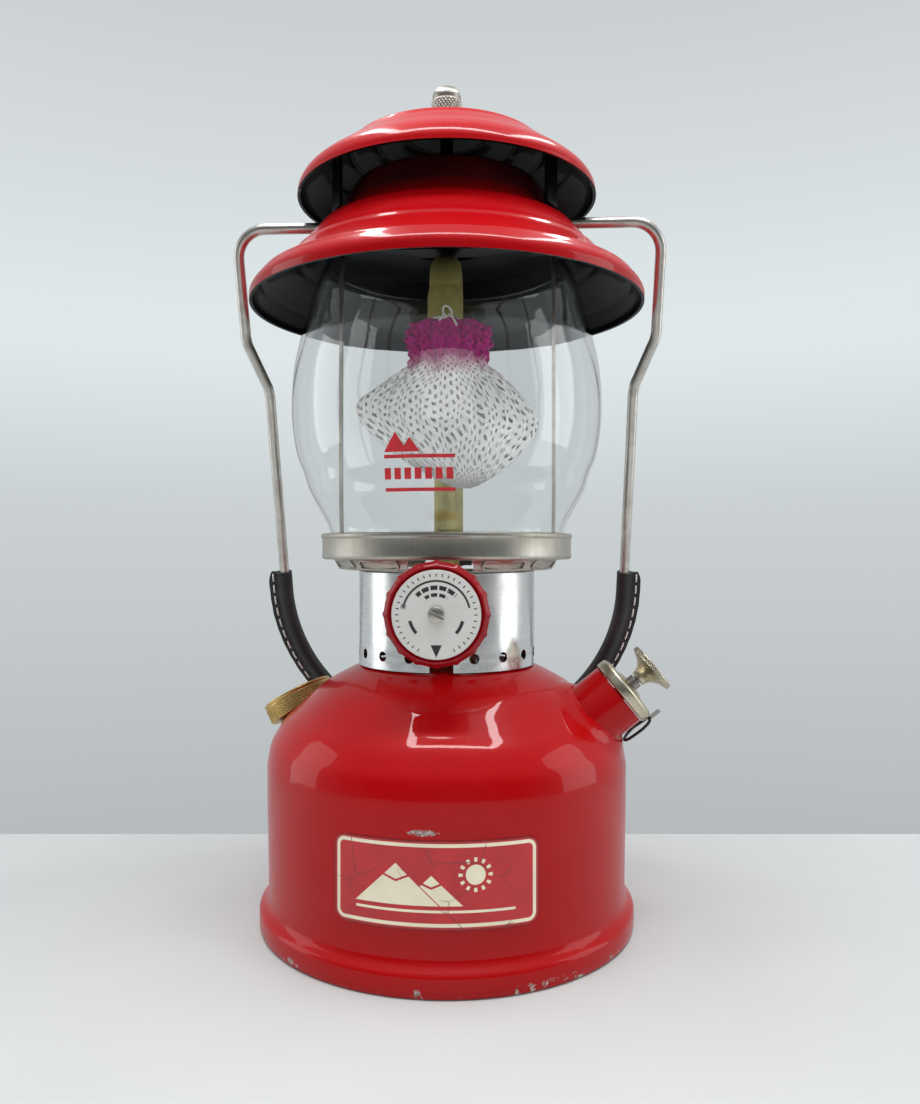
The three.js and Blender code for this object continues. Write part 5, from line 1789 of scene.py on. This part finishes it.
# ------------------------------------------------------------------ ventilator, nut and bail
@dataclass
class Ventilator:
    """Two enamelled tiers: flared skirt with its neck, and domed cap, red outside and black inside."""

    looks: Finishes
    skirt_r: float = 72.5
    skirt_z: float = 224.9
    cap_r: float = 55.3
    cap_z: float = 264.9
    wall: float = 1.1
    skirt: Profile = ((1, 0), (1, 2.6), (0.988, 4.6), (0.963, 6.6), (0.921, 8.9), (0.88, 11.1), (0.828, 13.8),
                      (0.775, 17), (0.724, 21.5), (0.683, 24.9), (0.641, 27.4), (0.579, 30.6), (0.53, 33.8),
                      (0.508, 38.5), (0.481, 43.2), (0.465, 44.2))
    cap: Profile = ((1, 0), (0.995, 2.4), (0.965, 5.4), (0.9, 8.6), (0.814, 11.9), (0.712, 16.2),
                    (0.611, 19.4), (0.5, 22.2), (0.407, 24.4), (0.27, 26.6), (0.12, 28.0), (0.045, 28.35))
    skirt_beads: Sequence[float] = (68.4, 56.0, 47.5)
    cap_beads: Sequence[float] = (16.5, 26.5, 36.0)

    @staticmethod
    def beaded(line: Outline, beads: Sequence[float], height: float,
               width: float) -> Outline:
        """Raise pressed rings on an outline at the given radii.

        Args:
            line: the outline.
            beads: radii of the rings.
            height: height of a ring.
            width: width of a ring.

        Returns:
            The raised outline.
        """
        out = []
        for i, (r, z) in enumerate(line):
            a, b = Vector(line[max(i - 1, 0)]), Vector(line[min(i + 1, len(line) - 1)])
            way = (b - a).normalized()
            lift = sum(height * math.exp(-(((r - bead) / width) ** 2)) for bead in beads)
            out.append((r + way.y * lift, z - way.x * lift))
        return out

    def build(self) -> None:
        """Make both tiers."""
        line = dense([(r * self.skirt_r, self.skirt_z + z) for r, z in self.skirt], 6)
        line = self.beaded(line, self.skirt_beads, 0.5, 1.1)
        skirt = turned("vent_tier_low", shell(line, self.wall), 224)
        paint_inside(smooth(skirt, 50), self.looks.tier_red, self.looks.black, Vector((0, 0, 225)))
        deliver(skirt, Body.VENTILATOR, Slot.RED, None, "vent_skirt")
        line = dense([(r * self.cap_r, self.cap_z + z) for r, z in self.cap], 8)
        line = self.beaded(line, self.cap_beads, 0.75, 1.15)
        cap = turned("vent_tier_top", shell(line, self.wall), 208)
        paint_inside(smooth(cap, 50), self.looks.tier_red, self.looks.black, Vector((0, 0, 255)))
        deliver(cap, Body.VENTILATOR, Slot.RED, None, "vent_cap")


@dataclass
class BallNut:
    """Knurled nut that holds the ventilator down."""

    looks: Finishes
    radius: float = 5.75
    low: float = 293.6
    top: float = 308.5

    def build(self) -> None:
        """Make the nut."""
        r, low, top = self.radius, self.low, self.top
        side = [(r, low + 0.9 + 8.2 * i / 40) for i in range(41)]
        nut = turned("ball_nut_knurled", [
            (0, low + 10.3), (2.85, low + 10.3), (2.85, low), (r - 1.1, low), (r - 0.3, low + 0.35), *side,
            (r - 0.35, low + 9.5), (r - 0.75, low + 9.8), (r - 0.55, low + 10.3), (r - 0.4, low + 11.2),
            (r - 0.75, top - 2.4), (r - 1.7, top - 1.1), (r - 3.1, top - 0.35), (r - 4.6, top - 0.05),
            (0, top)], 240)
        knurl(nut, low + 0.7, low + 9.3, r - 0.2, 26, 1.75, 0.45)
        deliver(smooth(nut, 60), Body.TOP_NUT, Slot.NICKEL, self.looks.aged, "ball_nut")


@dataclass
class Bail:
    """Wire bail hanging behind the lantern, with its stitched leather grip."""

    looks: Finishes
    pivot_z: float = 256.9
    tilt: float = 19.2
    end: float = 29.4
    width: float = 80.0
    corner: float = 11.0
    leg: float = 43.0
    jog: float = 17.0
    arch: float = 72.3
    centre: float = 146.7
    wire_r: float = 2.0
    grip_r: float = 3.1
    over: float = 8.0

    def hang(self, x: float, out: float, along: float) -> Vector:
        """Point at a width, a distance off the bail's plane and a length down from its pivot."""
        turn = Matrix.Rotation(math.radians(self.tilt), 3, "X")
        return turn @ Vector((x, out, -along)) + Vector((0, 0, self.pivot_z))

    def outline(self) -> Outline:
        """Wire path from the right end over the arch to the left end.

        Returns:
            Points in millimetres.
        """
        w, c, a = self.width, self.corner, self.arch
        half = [(self.end, 0)]
        half += [(w - c + c * math.sin(math.radians(15 * i)), c - c * math.cos(math.radians(15 * i)))
                 for i in range(7)]
        half += [(w, self.leg - 14), (w, self.leg - 3), (w - 0.5, self.leg),
                 ((w + a) / 2, self.leg + self.jog / 2), (a + 0.5, self.leg + self.jog),
                 (a, self.leg + self.jog + 4), (a, (self.leg + self.jog + self.centre) / 2),
                 (a, self.centre - self.over)]
        bow = [(a * math.cos(math.radians(7.5 * i)), self.centre + a * math.sin(math.radians(7.5 * i)))
               for i in range(25)]
        line = [*half, *bow, *[(-x, run) for x, run in reversed(half)]]
        even = [line[0]]
        for (x0, run0), (x1, run1) in zip(line, line[1:]):
            count = max(1, math.ceil(math.hypot(x1 - x0, run1 - run0) / 4.0))
            even += [(x0 + (x1 - x0) * i / count, run0 + (run1 - run0) * i / count)
                     for i in range(1, count + 1)]
        return even

    def build(self) -> None:
        """Make the wire, the sleeve, its flap and the stitches."""
        line = [(p.x, p.y) for p in catmull([(x, run, 0) for x, run in self.outline()], 3)]
        wire = swept("bail_wire_bent", [self.hang(x, 0, run) for x, run in line], self.wire_r, 24)
        deliver(smooth(wire, 60), Body.BAIL, Slot.NICKEL, self.looks.wire, "bail_wire")
        self.grip()

    def grip_spot(self, share: float, out: float, side: float = 0.0) -> Vector:
        """Point of the grip at a share from right to left, a distance outside its middle line.

        Args:
            share: share from right to left.
            out: distance outside the middle line.
            side: distance off the plane.

        Returns:
            The point.
        """
        arc = math.pi * self.arch
        run = share * (arc + 2 * self.over) - self.over
        if run < 0:
            return self.hang(self.arch + out, side, self.centre + run)
        if run > arc:
            return self.hang(-self.arch - out, side, self.centre - (run - arc))
        a = run / self.arch
        return self.hang((self.arch + out) * math.cos(a), side, self.centre + (self.arch + out) * math.sin(a))

    def grip(self) -> None:
        """Leather folded round the wire: a teardrop section with both layers meeting in the flap."""
        r, flap, thick = self.grip_r, 3.8, 0.62
        section = []
        for i in range(21):
            a = math.radians(24 + 312 * i / 20)
            section.append((r * math.cos(a), r * math.sin(a)))
        section = [(r + flap, thick), (r + flap * 0.5, thick), (r + 0.35, thick + 0.15), *section,
                   (r + 0.35, -thick - 0.15), (r + flap * 0.5, -thick), (r + flap, -thick),
                   (r + flap + 0.12, -thick * 0.5), (r + flap + 0.05, 0), (r + flap + 0.12, thick * 0.5)]
        section.append(section[0])
        steps = 260
        rows = []
        for j in range(steps + 1):
            share = j / steps
            end = min(share, 1 - share) * steps
            slim = 1 - 0.35 * max(0.0, 1 - end / 5) ** 2
            ripple = 0.05 * math.sin(share * 240) + 0.12 * noise.noise(Vector((share * 26, 1.7, 0)))
            rows.append([self.grip_spot(share, out if out < r else r + (out - r) * slim + ripple,
                                        side * (1 + 0.02 * math.sin(share * 90))) for out, side in section])
        hide = ribbon_rows("bail_grip_hide", rows)
        edit(hide)
        bpy.ops.mesh.remove_doubles(threshold=0.002 * MM)
        bpy.ops.mesh.select_mode(type="VERT")
        bpy.ops.mesh.select_all(action="DESELECT")
        bpy.ops.mesh.select_non_manifold()
        bpy.ops.mesh.edge_face_add()
        bpy.ops.mesh.select_all(action="SELECT")
        bpy.ops.mesh.normals_make_consistent(inside=False)
        bpy.ops.object.mode_set(mode="OBJECT")
        deliver(smooth(hide, 60), Body.BAIL, Slot.LEATHER, self.looks.hide, "bail_grip")
        stitches = []
        length = math.pi * self.arch + 2 * self.over
        count = int(length / 5.0)
        for i in range(count):
            for side in (-1, 1):
                a, b = (i + 0.18) / count, (i + 0.82) / count
                run = [self.grip_spot(a + (b - a) * t, self.grip_r + 1.9, side * (0.66 + lift))
                       for t, lift in ((0, -0.2), (0.12, 0.12), (0.5, 0.2), (0.88, 0.12), (1, -0.2))]
                stitches.append(swept("stitch", run, 0.34, 8))
        deliver(smooth(joined("bail_grip_stitches", stitches)), Body.BAIL, Slot.STRING, self.looks.thread)


# ------------------------------------------------------------------ setting
@dataclass
class Studio:
    """Plain pale floor, surround, soft lights and the camera."""

    floor_back: float = 0.092
    turn: float = 3.2

    def camera(self) -> None:
        """Level camera in front of the lantern."""
        data = bpy.data.cameras.new("camera")
        data.lens = 29.64
        data.sensor_width = 36.0
        data.shift_x = 0.01205
        data.shift_y = -0.0022
        data.clip_start = 0.01
        obj = bpy.data.objects.new("camera", data)
        turn = math.radians(self.turn)
        obj.location = (0.341 * math.sin(turn), -0.341 * math.cos(turn), 0.1354)
        obj.rotation_euler = Euler((math.radians(90), 0, turn))
        bpy.context.scene.collection.objects.link(obj)
        bpy.context.scene.camera = obj

    def floor(self) -> None:
        """Sheet of pale paper that ends a little behind the lantern."""
        deselect()
        turn = math.radians(self.turn)
        middle = self.floor_back - 1.5
        bpy.ops.mesh.primitive_plane_add(size=3.0, rotation=(0, 0, turn),
                                         location=(-middle * math.sin(turn), middle * math.cos(turn),
                                                   -0.0001))
        sweep = settle(bpy.context.object)
        sweep.name = "floor_sheet"
        c = Coat("paper_floor")
        p = c.where()
        c.set("Base Color", c.mix(c.ramp(c.noise(p, 14.0, 4.0), 0.3, 0.7), (0.56, 0.57, 0.565),
                                  (0.53, 0.54, 0.54)))
        c.set("Roughness", c.add(0.6, c.mul(c.noise(p, 30.0, 3.0), 0.15)))
        sweep.data.materials.append(c.material)

    def lamp(self, name: str, place: Sequence[float], aim: Sequence[float], size: tuple[float, float],
             watts: float, seen: bool = True) -> None:
        """Soft rectangular lamp aimed at a point, shown in reflections or not.

        Args:
            name: name of the lamp.
            place: where it stands.
            aim: what it looks at.
            size: width and length.
            watts: its power.
            seen: whether reflections show it.
        """
        data = bpy.data.lights.new(name, "AREA")
        data.shape = "RECTANGLE"
        data.size, data.size_y = size
        data.energy = watts
        obj = bpy.data.objects.new(name, data)
        obj.location = place
        obj.rotation_euler = (Vector(aim) - Vector(place)).to_track_quat("-Z", "Y").to_euler()
        obj.visible_glossy = seen
        bpy.context.scene.collection.objects.link(obj)

    def surround(self) -> None:
        """Pale backdrop that the camera sees, and a surround that is dim in front and bright behind."""
        world = bpy.data.worlds.new("surround")
        world.use_nodes = True
        t = Tree(world.node_tree)
        back = world.node_tree.nodes["Background"]
        _, y, z = t.split(t.node("ShaderNodeTexCoord").outputs["Generated"])
        low = t.mix(t.ramp(z, -0.3, 0.05), (0.46, 0.485, 0.50), (0.60, 0.64, 0.65))
        seen = t.mix(t.ramp(z, 0.05, 0.2), low, (0.74, 0.80, 0.815))
        seen = t.mix(t.ramp(z, 0.25, 0.5), seen, (0.60, 0.625, 0.64))
        lit = t.mix(t.ramp(y, -0.75, 0.1), (0.045, 0.045, 0.048), (0.55, 0.58, 0.60))
        lit = t.mix(t.ramp(z, 0.2, 0.9), lit, (0.50, 0.53, 0.55))
        straight = t.node("ShaderNodeLightPath").outputs["Is Camera Ray"]
        t.feed(back.inputs["Color"], t.mix(straight, lit, seen))
        back.inputs["Strength"].default_value = 1.0
        bpy.context.scene.world = world

    def build(self) -> None:
        """Set the floor, the surround and the lamps."""
        self.floor()
        self.surround()
        bpy.context.scene.view_settings.view_transform = "Standard"
        self.lamp("strip_front", (0.03, -0.12, 0.5), (0.03, -0.12, 0.0), (0.30, 0.034), 0.7)
        self.lamp("strip_left", (-0.11, 0.0, 0.5), (-0.11, 0.0, 0.0), (0.034, 0.24), 0.5)
        self.lamp("strip_right", (0.17, 0.0, 0.5), (0.17, 0.0, 0.0), (0.034, 0.24), 0.5)
        self.lamp("ceiling", (0.0, -0.1, 0.9), (0, 0, 0.0), (1.2, 0.9), 4.6, seen=False)
        self.lamp("wall_left", (-0.75, 0.02, 0.25), (0, 0, 0.14), (0.35, 0.6), 1.0)
        self.lamp("wall_right", (0.75, -0.02, 0.25), (0, 0, 0.14), (0.4, 0.7), 1.5)
        self.lamp("front_fill", (0.05, -0.9, 0.3), (0, 0, 0.16), (0.6, 0.5), 1.9, seen=False)


def dress_nodes(looks: Finishes) -> None:
    """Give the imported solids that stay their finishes.

    Args:
        looks: finishes to dress the pieces with.
    """
    dressed = {
        "pump_barrel": looks.brass, "pump_cup": looks.cup_hide, "air_stem": looks.steel,
        "pump_check_valve": looks.brass, "fuel_pickup": looks.brass, "filler_gasket": looks.rubber,
        "cage_upright_left": looks.steel, "cage_upright_right": looks.steel, "cage_bridge": looks.black,
        "vent_baffle": looks.black, "vent_strut_1": looks.black, "vent_strut_2": looks.black,
        "vent_strut_3": looks.black, "vent_strut_4": looks.black,
    }
    for name, material in dressed.items():
        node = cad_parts[name]
        for slot in node.material_slots:
            slot.material = material
        LOG.info("%s: dressed", name)


def main() -> None:
    """Build the studio, then the lantern from the tank up."""
    logging.basicConfig(level=logging.INFO, format="%(name)s: %(message)s")
    studio = Studio()
    studio.camera()
    looks = Finishes()
    for part in (Tank, Filler, Pump, Collar, Valve, GlobeRest, Burner, Mantle, Globe, Ventilator, BallNut,
                 Bail):
        LOG.info("building %s", part.__name__)
        part(looks).build()
    dress_nodes(looks)
    studio.build()
    deselect()


if __name__ == "__main__":
    main()
